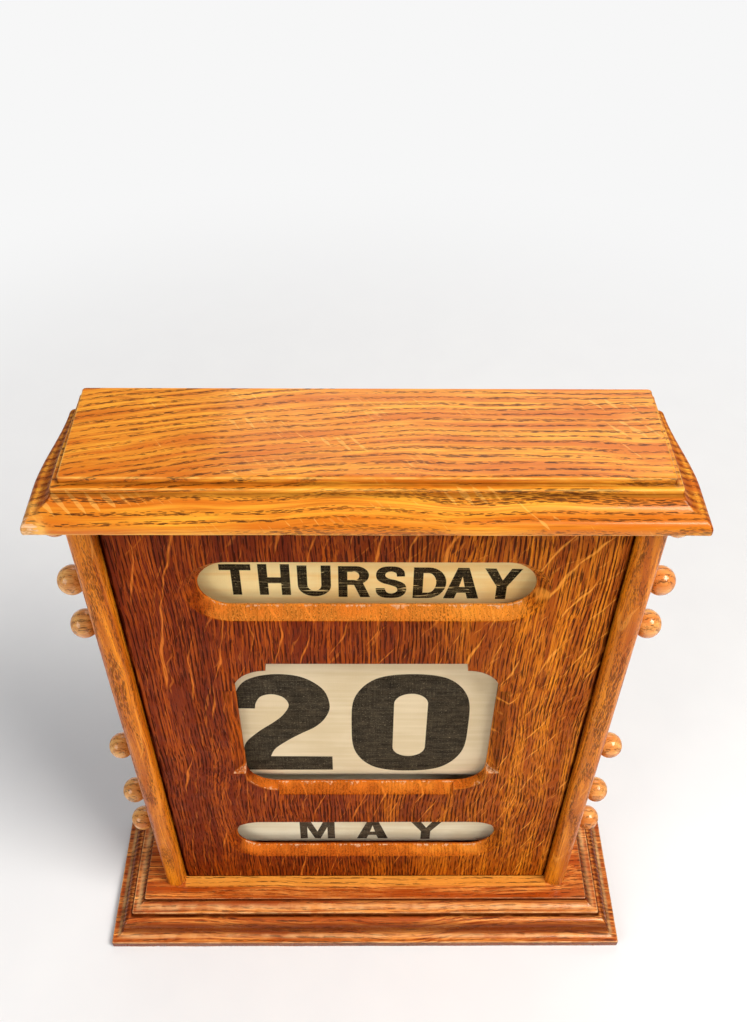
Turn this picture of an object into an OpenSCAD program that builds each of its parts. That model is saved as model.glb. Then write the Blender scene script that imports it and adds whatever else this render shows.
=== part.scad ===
// Perpetual desk calendar: a moulded oak case with three printed linen bands.
// Each band runs from an upper roller to a lower one behind a window in the front
// panel. A ball knob on each end of a roller turns it, and so changes what shows.
// Millimetres, +Z up. The front faces -Y, and the origin is the middle of the
// underside of the base.

/* [Case] */
// Width across the outsides of the two side boards
case_w = 200; // [190:1:230]
// Depth of the side boards, front edge to back edge
case_d = 47; // [46:1:60]
// Height of the side boards, from the base to the lid
case_h = 265.5; // [250:0.5:268]
// Thickness of a side board
side_t = 9.5; // [8.5:0.5:12]
// Rounding of a side board's two front corners
side_round = 3.8; // [1:0.1:4]

/* [Base] */
// Thickness of the base board
base_t = 19; // [18.5:0.1:24]
// How far the base stands out past the case on each side
base_side_over = 26; // [21:0.5:35]
// How far the base stands out past the case at the front
base_front_over = 22.8; // [20:0.1:35]
// Height of the square foot at the outer edge of the base
foot_h = 4.4; // [2:0.1:5]
// Width of the flat on top of the foot
foot_flat = 1.6; // [0.5:0.1:2.5]
// Radius of the hollow that rises from the foot
foot_hollow_r = 3.8; // [2.5:0.1:4]
// Radius of the round above that hollow
bead_r = 4.1; // [3:0.1:4.4]
// Height of the plain lip above the round
lip_h = 2.7; // [1.5:0.1:3]
// How far the lip stands back from the round
lip_in = 0.7; // [0.3:0.1:1]
// Width of the shallow hollow between the lip and the top of the base
top_hollow_w = 5.8; // [4:0.1:7]
// Rise of that hollow
top_hollow_h = 2.4; // [1.5:0.1:2.6]
// Height of the small square step around the top of the base
top_step_h = 0.9; // [0.5:0.1:1.1]

/* [Lid] */
// Thickness of the lid board, with its raised field
lid_t = 14.3; // [13.5:0.1:18]
// How far the lid stands out past the case, at the front and both sides
lid_over = 9.1; // [6:0.1:14]
// Height of the plain edge at the bottom of the lid
lid_edge_h = 1.6; // [0.8:0.1:2.5]
// Radius of the rounded nose above that edge
lid_nose_r = 3.4; // [2:0.1:4]
// Radius of the hollow above the nose
lid_hollow_r = 8.9; // [5:0.1:12]
// Inset of the upright above the hollow
lid_upright_in = 9; // [7.5:0.1:10]
// Height of that upright
lid_upright_h = 2.3; // [1:0.1:3]
// Inset of the raised field on top
field_in = 11.4; // [10.2:0.1:16]
// Height of the raised field
field_h = 2.7; // [1.5:0.1:3.5]

/* [Front panel] */
// Thickness of the front panel
panel_t = 5; // [4.6:0.1:6]
// How far its face lies behind the front edges of the side boards
panel_recess = 4.8; // [3:0.1:5]
// Gap down each side of the front panel
panel_gap = 0.4; // [0.2:0.1:1]
// Width of the slope round each window
slope_w = 4.6; // [2:0.1:5]
// Depth of that slope, out of the panel's thickness
slope_d = 4.2; // [2:0.1:4.3]
// Side of the square strips behind the panel
strip_s = 6; // [4:0.5:6.5]

/* [Weekday window] */
// Length of the weekday opening
day_win_w = 121.4; // [100:0.1:130]
// Height of the weekday opening
day_win_h = 23.2; // [16:0.1:25]
// Depth of its middle below the lid
day_win_drop = 44.2; // [42.5:0.1:46.5]

/* [Date window] */
// Length of the date opening
date_win_w = 105.4; // [90:0.1:130]
// Height of its bottom above the middle of the month opening
date_win_under = 47; // [45:0.1:55]
// Depth of its top below the middle of the weekday opening
date_win_over = 46.7; // [46.5:0.1:55]
// Corner radius of the date opening
date_win_r = 13.5; // [5:0.1:30]

/* [Month window] */
// Length of the month opening
month_win_w = 123.5; // [100:0.1:130]
// Height of the month opening
month_win_h = 25; // [16:0.1:27]
// Height of its middle above the base
month_win_z = 38.6; // [36:0.1:42]

/* [Rollers] */
// Distance of every roller's axis behind the front edges of the side boards
axis_y = 24.8; // [24.8:0.1:26]
// Height of the upper weekday roller above its window's middle
day_up = 16; // [15:0.1:18]
// Depth of the lower weekday roller below its window's middle
day_down = 16; // [14:0.1:16.2]
// Height of the upper date roller above the top of its window
date_up = 4.5; // [0:0.1:4.6]
// Height of the lower date roller above the bottom of its window
date_down = 4.5; // [0:0.1:8]
// Height of the upper month roller above its window's middle
month_up = 12; // [11.5:0.1:16]
// Depth of the lower month roller below its window's middle
month_down = 15.5; // [14:0.1:17]
// Drum radius of the weekday and month rollers
wide_core_r = 10.5; // [8:0.1:10.6]
// Drum radius of the date rollers, thinner because that band is long
slim_core_r = 9.5; // [8:0.1:9.6]
// Radius of the neck between a drum and the side board
neck_r = 4.6; // [4:0.1:4.8]
// Radius of the journal that turns in a side board
journal_r = 2.6; // [2:0.1:3]
// Radial clearance of a journal in its hole
journal_clear = 0.08; // [0.04:0.01:0.1]
// End play of a roller between the side boards, on each side
end_play = 0.4; // [0.2:0.1:1]
// Length of drum beyond the band, on each side
drum_margin = 2; // [1:0.5:3.5]

/* [Linen bands] */
// Distance from each outside of the case to the edge of a linen band
band_in = 22; // [21:0.5:30]
// Thickness of the linen, which sets how the wound turns build up
linen_t = 0.13; // [0.1:0.01:0.13]
// Thickness of the solid that stands for the stretch behind a window
stretch_t = 0.4; // [0.3:0.1:0.8]
// Gap between that stretch and the wound turns
stretch_gap = 0.3; // [0.2:0.05:0.4]
// Length of plain linen that always stays wound on a roller
leader = 40; // [20:1:60]
// Height of one weekday on its band
day_pitch = 30; // [26:1:34]
// How much less than the height of its window one date takes on its band
date_less = 1; // [1:1:8]
// Height of one month on its band
month_pitch = 30; // [26:1:34]
// Weekday shown, counted from Sunday as 1
day_shown = 5; // [1:1:7]
// Date shown
date_shown = 20; // [1:1:31]
// Month shown, counted from January as 1
month_shown = 5; // [1:1:12]

/* [Knobs] */
// Radius of a knob's ball
ball_r = 6; // [5:0.1:7]
// Distance of the ball's middle from the side board
ball_out = 11.5; // [9:0.1:14]
// Radius of the neck that carries the ball
knob_neck_r = 3.5; // [3.2:0.1:4.5]
// Gap between a knob and the side board
knob_gap = 0.5; // [0.3:0.1:1]
// Radial clearance of the journal glued in a knob
glue_clear = 0.03; // [0.01:0.01:0.05]

/* [Back, battens and screws] */
// Thickness of the back panel, let in flush with the side boards
back_t = 4; // [3:0.1:4.2]
// Width of the ledge in a side board that the back panel lies on
ledge_w = 5; // [4.6:0.1:6]
// Gap round the two upright edges of the back panel
back_gap = 0.3; // [0.1:0.05:0.4]
// Height of the lower back screws above the base, and of the upper ones below the lid
back_screw_in = 30; // [15:1:60]
// Side of the square battens under the lid
batten_s = 8; // [7:0.5:9]
// Clear space between a batten and the pieces before and behind it
batten_gap = 2; // [1:0.5:4]
// Shank radius of the base and lid screws
screw_r = 1.6; // [1.2:0.1:1.8]
// Head radius of the base and lid screws
screw_head_r = 3.1; // [2.6:0.1:3.3]
// Length of a base screw
base_screw_l = 32; // [26:1:40]
// Length of a lid screw
lid_screw_l = 16; // [12:1:18]
// Shank radius of the back screws
back_screw_r = 1; // [0.8:0.1:1.2]
// Head radius of the back screws
back_screw_head_r = 1.9; // [1.6:0.1:2]
// Length of a back screw
back_screw_l = 14; // [10:1:18]
// Depth of a screw head below the surface round it
head_sunk = 0.4; // [0.1:0.1:0.8]
// Distance of the front base and lid screws behind the ends of what they hold
screw_in = 11; // [8:0.5:12]

/* [Hidden] */
$fn = 96;
// Steps in each curve of a moulding
ARC_STEPS = 8;
// Overshoot of a cutting shape past the face that it cuts
eps = 1;
// Radial room round a screw shank in its pilot hole
pilot_clear = 0.02;
// Radial room round a screw shank in the board that it passes through
pass_clear = 0.2;
// Share of the screw head's radius that its slot is deep, and wide
slot_deep = 0.35;
slot_wide = 0.28;

base_w = case_w + 2 * base_side_over;
base_d = case_d + base_front_over;
base_front = -base_d / 2;
case_front = base_front + base_front_over;
case_back = case_front + case_d;
lid_z = base_t + case_h;
lid_w = case_w + 2 * lid_over;
lid_front = case_front - lid_over;
inner_x = case_w / 2 - side_t;
panel_front = case_front + panel_recess;
panel_back = panel_front + panel_t;
ledge_y = case_back - back_t;
ledge_x = inner_x + ledge_w;
roller_y = case_front + axis_y;
band_w = case_w - 2 * band_in;
drum_x = band_w / 2 + drum_margin;
batten_y0 = panel_back + strip_s + batten_gap;
batten_y1 = ledge_y - batten_gap;
day_win_z = case_h - day_win_drop;
date_win_h = day_win_z - date_win_over - date_win_under - month_win_z;
date_win_z = month_win_z + date_win_under + date_win_h / 2;
date_pitch = date_win_h - date_less;
date_rise = date_win_h / 2 + date_up;
date_drop = date_win_h / 2 - date_down;

// One row a band: name, middle of its window, rise to the upper roller, drop to the
// lower one, drum radius, height of one entry, number of entries, entry shown
BANDS = [
    ["day", base_t + day_win_z, day_up, day_down, wide_core_r, day_pitch, 7, day_shown],
    ["date", base_t + date_win_z, date_rise, date_drop, slim_core_r, date_pitch, 31, date_shown],
    ["month", base_t + month_win_z, month_up, month_down, wide_core_r, month_pitch, 12, month_shown]
];
PLACES = ["upper", "lower"];
SIDES = [["left", -1], ["right", 1]];

function is_upper(place) = place == "upper";
function axis_z(b, place) = is_upper(place) ? b[1] + b[2] : b[1] - b[3];
// Length of linen wound on a roller while entry b[7] shows: later entries are above
function wound(b, place) = leader + b[5] * (is_upper(place) ? b[6] - b[7] : b[7] - 1);
// Radius of the wound turns: the area of the linen seen edge-on is spread round the drum
function wound_r(b, place) = sqrt(b[4] * b[4] + wound(b, place) * linen_t / PI);
// Turning of a roller, in degrees, that takes it from entry b[7] to entry n. Forwards,
// the linen runs down the front, off the upper roller and on to the lower one.
function turn(b, place, n) =
    let (to = concat([for (i = [0:6]) b[i]], [n]))
    (is_upper(place) ? -360 : 360) * (wound_r(to, place) - wound_r(b, place)) / linen_t;

BAND_NAMES = [for (b = BANDS) b[0]];
ROLLER_NAMES = [for (b = BANDS) for (p = PLACES) str(b[0], "_", p)];

// ---- Shapes that repeat ----

// Countersunk screw along +Z: its head's flat top is at z = 0 and its point at z = -l
module screw(r, head_r, l) {
    difference() {
        rotate_extrude()
            polygon([[0, 0], [head_r, 0], [r, r - head_r], [r, 2 * r - l], [0, -l]]);
        translate([-head_r - eps, -head_r * slot_wide / 2, -head_r * slot_deep])
            cube([2 * (head_r + eps), head_r * slot_wide, head_r]);
    }
}

// Room for that screw: a sink for its head, a free hole to depth d, then a pilot hole
module screw_room(r, head_r, l, d) {
    sink_r = head_r + pass_clear;
    rotate_extrude()
        polygon([[0, eps], [sink_r, eps], [sink_r, 0], [r + pass_clear, r - head_r],
            [r + pass_clear, -d], [r + pilot_clear, -d], [r + pilot_clear, -l - pilot_clear],
            [0, -l - pilot_clear]]);
}

// Points of an arc about c, from angle a0 to a1
function arc(c, r, a0, a1) =
    [for (i = [0:ARC_STEPS]) let (a = a0 + (a1 - a0) * i / ARC_STEPS) c + r * [cos(a), sin(a)]];

// Points of a hollow of radius r that sinks into the wood between p and q. Its centre
// lies outside the wood, on the line that halves p to q at a right angle.
function hollow(p, q, r) =
    let (half = norm(q - p) / 2)
    let (c = (p + q) / 2 + sqrt(r * r - half * half) * [p[1] - q[1], q[0] - p[0]] / (2 * half))
    arc(c, r, atan2(p[1] - c[1], p[0] - c[0]), atan2(q[1] - c[1], q[0] - c[0]));

// Region cut from the edge of the base: x is the inset from the edge, y the height.
// From the bottom: foot, hollow, round, lip, shallow hollow, and a step to the top.
module base_edge2d() {
    hollow_c = [foot_flat, foot_h + foot_hollow_r];
    bead_x = foot_flat + foot_hollow_r + bead_r;
    bead_c = [bead_x, base_t - top_step_h - top_hollow_h - lip_h - bead_r];
    lip = [bead_x + lip_in, bead_c[1] + bead_r + lip_h];
    top = lip + [top_hollow_w, top_hollow_h];
    polygon(concat(
        [[-eps, foot_h]],
        arc(hollow_c, foot_hollow_r, -90, 0),
        arc(bead_c, bead_r, 180, 90),
        [[lip[0], bead_c[1] + bead_r]],
        hollow(lip, top, top_hollow_w),
        [[top[0], base_t + eps], [-eps, base_t + eps]]
    ));
}

// Region cut from the edge of the lid: a plain edge, a nose, a hollow, an upright and
// a flat round the raised field
module lid_edge2d() {
    nose_c = [lid_nose_r, lid_edge_h];
    flat_z = lid_t - field_h;
    polygon(concat(
        [[-eps, lid_edge_h]],
        arc(nose_c, lid_nose_r, 180, 90),
        hollow(nose_c + [0, lid_nose_r], [lid_upright_in, flat_z - lid_upright_h], lid_hollow_r),
        [[lid_upright_in, flat_z], [field_in, flat_z], [field_in, lid_t + eps], [-eps, lid_t + eps]]
    ));
}

// Cuts children() (a region in inset and height) from the front and both sides of a
// board whose front left bottom corner is at [-w / 2, front, 0]
module mould(w, d, front) {
    translate([-w / 2 - eps, front, 0])
        rotate([90, 0, 90])
            linear_extrude(w + 2 * eps)
                children();
    for (m = [0, 1])
        mirror([m, 0, 0])
            translate([-w / 2, front + d + eps, 0])
                rotate([90, 0, 0])
                    linear_extrude(d + 2 * eps)
                        children();
}

// Screw places along Y for a piece that spans y0 to y1
function screw_ys(y0, y1) = [y0 + screw_in, y1 - screw_in];

// A window with round ends: a straight opening and a slope that widens to the front.
// Its middle is at the origin, in the plane of the panel's face, and it cuts to +Y.
module round_window(w, h) {
    straight = w - h;
    rotate([90, 0, 0]) {
        for (x = [-straight / 2, straight / 2])
            translate([x, 0, 0]) {
                translate([0, 0, -panel_t - eps])
                    cylinder(h = panel_t + 2 * eps, r = h / 2);
                translate([0, 0, -slope_d])
                    cylinder(h = slope_d + 0.01, r1 = h / 2, r2 = h / 2 + slope_w);
            }
        translate([-straight / 2, -h / 2, -panel_t - eps])
            cube([straight, h, panel_t + 2 * eps]);
    }
    slope_bar(straight, h);
}

// The slopes along the two long sides of an opening of height h, over a length l
module slope_bar(l, h) {
    out = h / 2 + slope_w;
    translate([-l / 2, 0, 0])
        rotate([90, 0, 90])
            linear_extrude(l)
                polygon([[-eps, -out], [0, -out], [slope_d, -h / 2], [slope_d, h / 2],
                    [0, out], [-eps, out]]);
}

// The date window: rounded corners cut square, and a stopped slope on each side
module date_window() {
    cx = date_win_w / 2 - date_win_r;
    cz = date_win_h / 2 - date_win_r;
    for (x = [-cx, cx], z = [-cz, cz])
        translate([x, -eps, z])
            rotate([-90, 0, 0])
                cylinder(h = panel_t + 2 * eps, r = date_win_r);
    translate([-date_win_w / 2, -eps, -cz])
        cube([date_win_w, panel_t + 2 * eps, 2 * cz]);
    translate([-cx, -eps, -date_win_h / 2])
        cube([2 * cx, panel_t + 2 * eps, date_win_h]);
    slope_bar(2 * cx, date_win_h);
    rotate([0, 90, 0])
        slope_bar(2 * cz, date_win_w);
}

// ---- Case ----

module base() {
    color("peru")
        difference() {
            translate([-base_w / 2, base_front, 0])
                cube([base_w, base_d, base_t]);
            mould(base_w, base_d, base_front)
                base_edge2d();
            for (s = SIDES)
                base_screw_places(s[1])
                    screw_room(screw_r, screw_head_r, base_screw_l, base_screw_l);
        }
}

// Puts children at the base screws of one side, heads down
module base_screw_places(sx) {
    for (y = screw_ys(case_front, case_back))
        translate([sx * (case_w - side_t) / 2, y, head_sunk])
            rotate([180, 0, 0])
                children();
}

// Plan of a side board: front corners rounded, and a ledge cut for the back panel
module side_plan2d() {
    difference() {
        union() {
            translate([0, side_round])
                square([side_t, case_d - side_round]);
            translate([side_round, 0])
                square([side_t - 2 * side_round, case_d]);
            for (x = [side_round, side_t - side_round])
                translate([x, side_round])
                    circle(side_round);
        }
        translate([-eps, case_d - back_t])
            square([ledge_w + eps, back_t + eps]);
    }
}

module side_board(sx) {
    color("sienna")
        difference() {
            mirror([sx < 0 ? 1 : 0, 0, 0])
                translate([inner_x, case_front, base_t])
                    linear_extrude(case_h)
                        side_plan2d();
            for (b = BANDS, p = PLACES)
                translate([sx * (inner_x - eps), roller_y, axis_z(b, p)])
                    rotate([0, sx * 90, 0])
                        cylinder(h = side_t + 2 * eps, r = journal_r + journal_clear);
            base_screw_places(sx)
                screw_room(screw_r, screw_head_r, base_screw_l, base_t - head_sunk);
            back_screw_places(sx)
                screw_room(back_screw_r, back_screw_head_r, back_screw_l, back_t - head_sunk);
        }
}

module lid() {
    color("sandybrown")
        difference() {
            translate([0, 0, lid_z])
                difference() {
                    translate([-lid_w / 2, lid_front, 0])
                        cube([lid_w, case_back - lid_front, lid_t]);
                    mould(lid_w, case_back - lid_front, lid_front)
                        lid_edge2d();
                }
            for (s = SIDES)
                lid_screw_places(s[1])
                    screw_room(screw_r, screw_head_r, lid_screw_l, batten_s - head_sunk);
        }
}

module front_panel() {
    w = 2 * (inner_x - panel_gap);
    color("chocolate")
        difference() {
            translate([-w / 2, panel_front, base_t])
                cube([w, panel_t, case_h]);
            translate([0, panel_front, base_t + day_win_z])
                round_window(day_win_w, day_win_h);
            translate([0, panel_front, base_t + date_win_z])
                date_window();
            translate([0, panel_front, base_t + month_win_z])
                round_window(month_win_w, month_win_h);
        }
}

module back_panel() {
    w = 2 * (ledge_x - back_gap);
    color("saddlebrown")
        difference() {
            translate([-w / 2, ledge_y, base_t])
                cube([w, back_t, case_h]);
            for (s = SIDES)
                back_screw_places(s[1])
                    screw_room(back_screw_r, back_screw_head_r, back_screw_l, back_screw_l);
        }
}

// Strip glued in the corner behind the front panel
module panel_strip(sx) {
    color("burlywood")
        translate([sx > 0 ? inner_x - strip_s : -inner_x, panel_back, base_t])
            cube([strip_s, strip_s, case_h]);
}

// Batten glued to a side board under the lid, which is screwed to it
module lid_batten(sx) {
    color("burlywood")
        difference() {
            translate([sx > 0 ? inner_x - batten_s : -inner_x, batten_y0, lid_z - batten_s])
                cube([batten_s, batten_y1 - batten_y0, batten_s]);
            lid_screw_places(sx)
                screw_room(screw_r, screw_head_r, lid_screw_l, lid_screw_l);
        }
}

// Puts children at the two screws of one lid batten, heads down
module lid_screw_places(sx) {
    third = (batten_y1 - batten_y0) / 4;
    for (y = [batten_y0 + third, batten_y1 - third])
        translate([sx * (inner_x - batten_s / 2), y, lid_z - batten_s + head_sunk])
            rotate([180, 0, 0])
                children();
}

// Puts children at the two back screws of one side, heads to the back
module back_screw_places(sx) {
    for (z = [base_t + back_screw_in, lid_z - back_screw_in])
        translate([sx * (inner_x + ledge_w / 2), case_back - head_sunk, z])
            rotate([-90, 0, 0])
                children();
}

module base_screws() {
    color("goldenrod")
        for (s = SIDES)
            base_screw_places(s[1])
                screw(screw_r, screw_head_r, base_screw_l);
}

module lid_screws() {
    color("goldenrod")
        for (s = SIDES)
            lid_screw_places(s[1])
                screw(screw_r, screw_head_r, lid_screw_l);
}

module back_screws() {
    color("goldenrod")
        for (s = SIDES)
            back_screw_places(s[1])
                screw(back_screw_r, back_screw_head_r, back_screw_l);
}

// ---- Rollers, bands and knobs ----

// Turned wooden roller: drum, a neck at each end and a journal out through each board
module roller(b, place) {
    neck_x = inner_x - end_play;
    tip_x = case_w / 2 + ball_out;
    color("tan")
        translate([0, roller_y, axis_z(b, place)])
            rotate([0, 90, 0]) {
                translate([0, 0, -drum_x])
                    cylinder(h = 2 * drum_x, r = b[4]);
                translate([0, 0, -neck_x])
                    cylinder(h = 2 * neck_x, r = neck_r);
                translate([0, 0, -tip_x])
                    cylinder(h = 2 * tip_x, r = journal_r);
            }
}

// The turns of linen wound on a drum
module winding(b, place) {
    color("wheat")
        translate([-band_w / 2, roller_y, axis_z(b, place)])
            rotate([0, 90, 0])
                difference() {
                    cylinder(h = band_w, r = wound_r(b, place));
                    translate([0, 0, -eps])
                        cylinder(h = band_w + 2 * eps, r = b[4]);
                }
}

// The stretch of linen between the two rollers, just in front of both
module band(b) {
    up = [roller_y - wound_r(b, "upper") - stretch_gap, axis_z(b, "upper")];
    low = [roller_y - wound_r(b, "lower") - stretch_gap, axis_z(b, "lower")];
    color("cornsilk")
        translate([-band_w / 2, 0, 0])
            rotate([90, 0, 90])
                linear_extrude(band_w)
                    polygon([up, low, low - [stretch_t, 0], up - [stretch_t, 0]]);
}

// Turned ball knob, glued on the journal's end
module knob(b, place, sx) {
    color("darkorange")
        translate([sx * case_w / 2, roller_y, axis_z(b, place)])
            rotate([0, sx * 90, 0])
                rotate_extrude()
                    difference() {
                        union() {
                            intersection() {
                                translate([0, ball_out])
                                    circle(ball_r);
                                translate([0, ball_out - ball_r])
                                    square([ball_r, 2 * ball_r]);
                            }
                            translate([0, knob_gap])
                                square([knob_neck_r, ball_out - knob_gap]);
                        }
                        translate([-eps, 0])
                            square([journal_r + glue_clear + eps, ball_out + glue_clear]);
                    }
}

base();
side_board(-1);  // left_side
side_board(1);  // right_side
lid();
front_panel();
back_panel();
panel_strip(-1);  // left_panel_strip
panel_strip(1);  // right_panel_strip
lid_batten(-1);  // left_lid_batten
lid_batten(1);  // right_lid_batten
base_screws();
lid_screws();
back_screws();
for (b = BANDS, p = PLACES) {
    roller(b, p);
    winding(b, p);
    for (s = SIDES)
        knob(b, p, s[1]);
}
for (b = BANDS)
    band(b);

// Turning of each roller to its first and last entry, in degrees, and the rollers' ratio
for (b = BANDS)
    echo(b[0], turn(b, "upper", 1), turn(b, "upper", b[6]), turn(b, "lower", 1), turn(b, "lower", b[6]),
        ratio = wound_r(b, "upper") / wound_r(b, "lower"), wound_r(b, "upper"), wound_r(b, "lower"));
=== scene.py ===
# %% [markdown]
# # A perpetual desk calendar in oak
#
# This lesson dresses a imported CAD model so that it looks like the real object: an oak
# case with a moulded base and lid, three windows, and behind each window a band of
# printed linen that runs between two rollers. Each step makes one kind of piece or one
# finish. Everything is in metres, in the frame of the CAD model: Z is up and the front
# of the case faces -Y.
#
# The first step loads the CAD model. Its pieces are already in their places, so all
# that follows is built round them. The dressed model has to stay inside it.

# %% Load the frame
import math

import bmesh
import bpy
import numpy as np
from mathutils import Matrix, Vector
from mathutils.geometry import delaunay_2d_cdt


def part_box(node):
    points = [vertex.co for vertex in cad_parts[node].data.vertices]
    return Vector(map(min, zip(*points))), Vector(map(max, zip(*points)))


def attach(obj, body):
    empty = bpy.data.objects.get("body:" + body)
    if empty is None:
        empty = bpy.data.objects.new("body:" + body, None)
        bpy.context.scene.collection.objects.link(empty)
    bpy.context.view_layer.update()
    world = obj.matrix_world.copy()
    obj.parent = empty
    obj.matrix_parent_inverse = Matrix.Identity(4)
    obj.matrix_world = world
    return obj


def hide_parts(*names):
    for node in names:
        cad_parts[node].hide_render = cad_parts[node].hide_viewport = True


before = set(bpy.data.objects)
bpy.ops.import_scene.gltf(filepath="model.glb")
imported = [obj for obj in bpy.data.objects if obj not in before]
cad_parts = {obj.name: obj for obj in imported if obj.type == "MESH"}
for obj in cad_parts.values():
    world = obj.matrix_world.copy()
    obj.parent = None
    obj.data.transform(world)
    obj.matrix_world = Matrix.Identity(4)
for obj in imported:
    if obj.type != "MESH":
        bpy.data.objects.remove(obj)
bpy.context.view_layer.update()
print("CAD nodes:", len(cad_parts))

# %% [markdown]
# ## Sizes
#
# A piece that stands for a CAD node has to have that node's place and size. The boxes
# of the nodes give the outer sizes, so they are read and not typed in. Sizes inside a
# moulding don't show in a box, so each step has those at its top, in millimetres.

# %% Sizes of the case, from the CAD boxes
MM = 0.001


def box_mm(node):
    """Lowest and highest corner of a CAD node, in millimetres, as two arrays."""
    low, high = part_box(node)
    return np.array(low) / MM, np.array(high) / MM


base_low, base_high = box_mm("base")
lid_low, lid_high = box_mm("lid")
panel_low, panel_high = box_mm("front_panel")
print("base", (base_high - base_low).round(1), "lid", (lid_high - lid_low).round(1))

# %% Places of the rollers
BANDS = ("day", "date", "month")
PLACES = ("upper", "lower")
SIDES = {"left": -1, "right": 1}
roller_axis = {}
wound_radius = {}
for band in BANDS:
    for place in PLACES:
        low, high = box_mm(f"{band}_{place}_winding")
        roller_axis[band, place] = (low + high)[1:] / 2
        wound_radius[band, place] = (high - low)[2] / 2
print({k: round(float(v), 2) for k, v in wound_radius.items()})

# %% [markdown]
# ## From arrays to a mesh
#
# Every new surface here is a grid of points that numpy works out in one go. One helper
# turns such an array, and an array of faces, into a mesh object. Faces that meet at
# less than a set angle are shaded as one smooth surface, as a worn arris needs.

# %% Helpers: arrays to meshes
def in_scene(name, data):
    """A new object with that data, linked into the scene."""
    made = bpy.data.objects.new(name, data)
    bpy.context.scene.collection.objects.link(made)
    return made


def put_mesh(name, points, faces, smooth=32, wear_and_shading=None, uv=None):
    """Mesh object from points (n, 3) in millimetres and a list of face arrays, each
    (m, corners). wear_and_shading is one number a point: 1 on an arris that hands have
    rubbed, and also where a painted highlight goes; -1 in a corner that holds dirt and
    painted shade. uv is two numbers a point, in metres."""
    mesh = bpy.data.meshes.new(name)
    corners = np.concatenate([np.asarray(f, np.int32).ravel() for f in faces])
    sizes = np.concatenate([np.full(len(f), np.asarray(f).shape[1], np.int32) for f in faces])
    mesh.vertices.add(len(points))
    mesh.vertices.foreach_set("co", (np.asarray(points) * MM).astype(np.float32).ravel())
    mesh.loops.add(len(corners))
    mesh.loops.foreach_set("vertex_index", corners)
    mesh.polygons.add(len(sizes))
    starts = np.concatenate([[0], np.cumsum(sizes)[:-1]])
    mesh.polygons.foreach_set("loop_start", starts.astype(np.int32))
    mesh.update(calc_edges=True)
    if wear_and_shading is not None:
        layer = mesh.attributes.new("wear_and_shading", "FLOAT", "POINT")
        layer.data.foreach_set("value", np.asarray(wear_and_shading, np.float32))
    if uv is not None:
        layer = mesh.uv_layers.new(name="cloth")
        layer.data.foreach_set("uv", np.asarray(uv, np.float32)[corners].ravel())
    mesh.validate()
    mesh.shade_smooth()
    mesh.set_sharp_from_angle(angle=math.radians(smooth))
    return in_scene(name, mesh)


def grid_faces(rows, columns, closed=False, first=0):
    """Quads of a grid of rows x columns points, numbered row by row from first. With
    closed, the last column joins the first."""
    last = columns if closed else columns - 1
    i, j = np.meshgrid(np.arange(rows - 1), np.arange(last), indexing="ij")
    here, above, k = i * columns, (i + 1) * columns, (j + 1) % columns
    return np.stack([here + j, here + k, above + k, above + j], -1).reshape(-1, 4) + first


def skin_faces(rows, columns):
    """Faces of a closed skin: quads between rings of points, and a cap at each end."""
    ring = np.arange(columns)
    caps = [ring[::-1][None], ring[None] + (rows - 1) * columns]
    return [grid_faces(rows, columns, closed=True)] + caps


# %% Helpers: outward faces and a home for each piece
def face_outwards(piece):
    """Turns the faces of a closed mesh outwards."""
    work = bmesh.new()
    work.from_mesh(piece.data)
    bmesh.ops.recalc_face_normals(work, faces=work.faces)
    work.to_mesh(piece.data)
    work.free()
    return piece


def home(piece, body, slot, material, *nodes):
    """The piece rides on body, is made of material and stands for the CAD nodes. slot is
    not used."""
    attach(piece, body)
    if nodes:
        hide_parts(*nodes)
    piece.data.materials.clear()
    piece.data.materials.append(material)
    print(f"{piece.name}: {len(piece.data.polygons)} faces, rides on {body}")
    return piece


# %% [markdown]
# ## Noise for worn edges
#
# A machine-sharp edge gives a render away. On a hundred-year-old calendar each arris is
# rubbed round, and never evenly. Smooth random numbers, the same on every run, say how
# much an arris is rubbed at each point. They come from sine waves of several lengths
# and directions added up, because that needs no table and works on whole arrays.

# %% Helper: smooth noise
def waves(points, length, seed):
    """Smooth noise from about -1 to 1 at points (n, 3): twelve sine waves, each with
    its own direction, phase and a length near the given one, added and scaled."""
    draw = np.random.default_rng(seed)
    ways = draw.normal(size=(12, 3))
    ways *= (2 * np.pi / (length * draw.uniform(0.6, 1.8, 12)) / np.linalg.norm(ways, axis=1))[:, None]
    return np.sin(points @ ways.T + draw.uniform(0, 2 * np.pi, 12)).sum(1) / 6


# %% [markdown]
# ## Building finishes from nodes
#
# A finish is a chain of nodes. Written out, each node takes several lines, and the
# pattern is lost among them. Two small classes help: one adds a node a call, and the
# other lets the outputs of nodes be added and multiplied like numbers. So a finish
# reads as a sum: pores, plus rays, plus wear.

# %% A recipe: one call a node
class Value:
    """A node's output. It adds, subtracts and multiplies like a number: each sign in a
    formula puts in one Math node."""

    def __init__(self, recipe, socket):
        self.recipe, self.socket = recipe, socket

    def __add__(self, other):
        return self.recipe.math("ADD", self, other)

    def __sub__(self, other):
        return self.recipe.math("SUBTRACT", self, other)

    def __rsub__(self, other):
        return self.recipe.math("SUBTRACT", other, self)

    def __mul__(self, other):
        return self.recipe.math("MULTIPLY", self, other)

    def __abs__(self):
        return self.recipe.math("ABSOLUTE", self)


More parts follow.
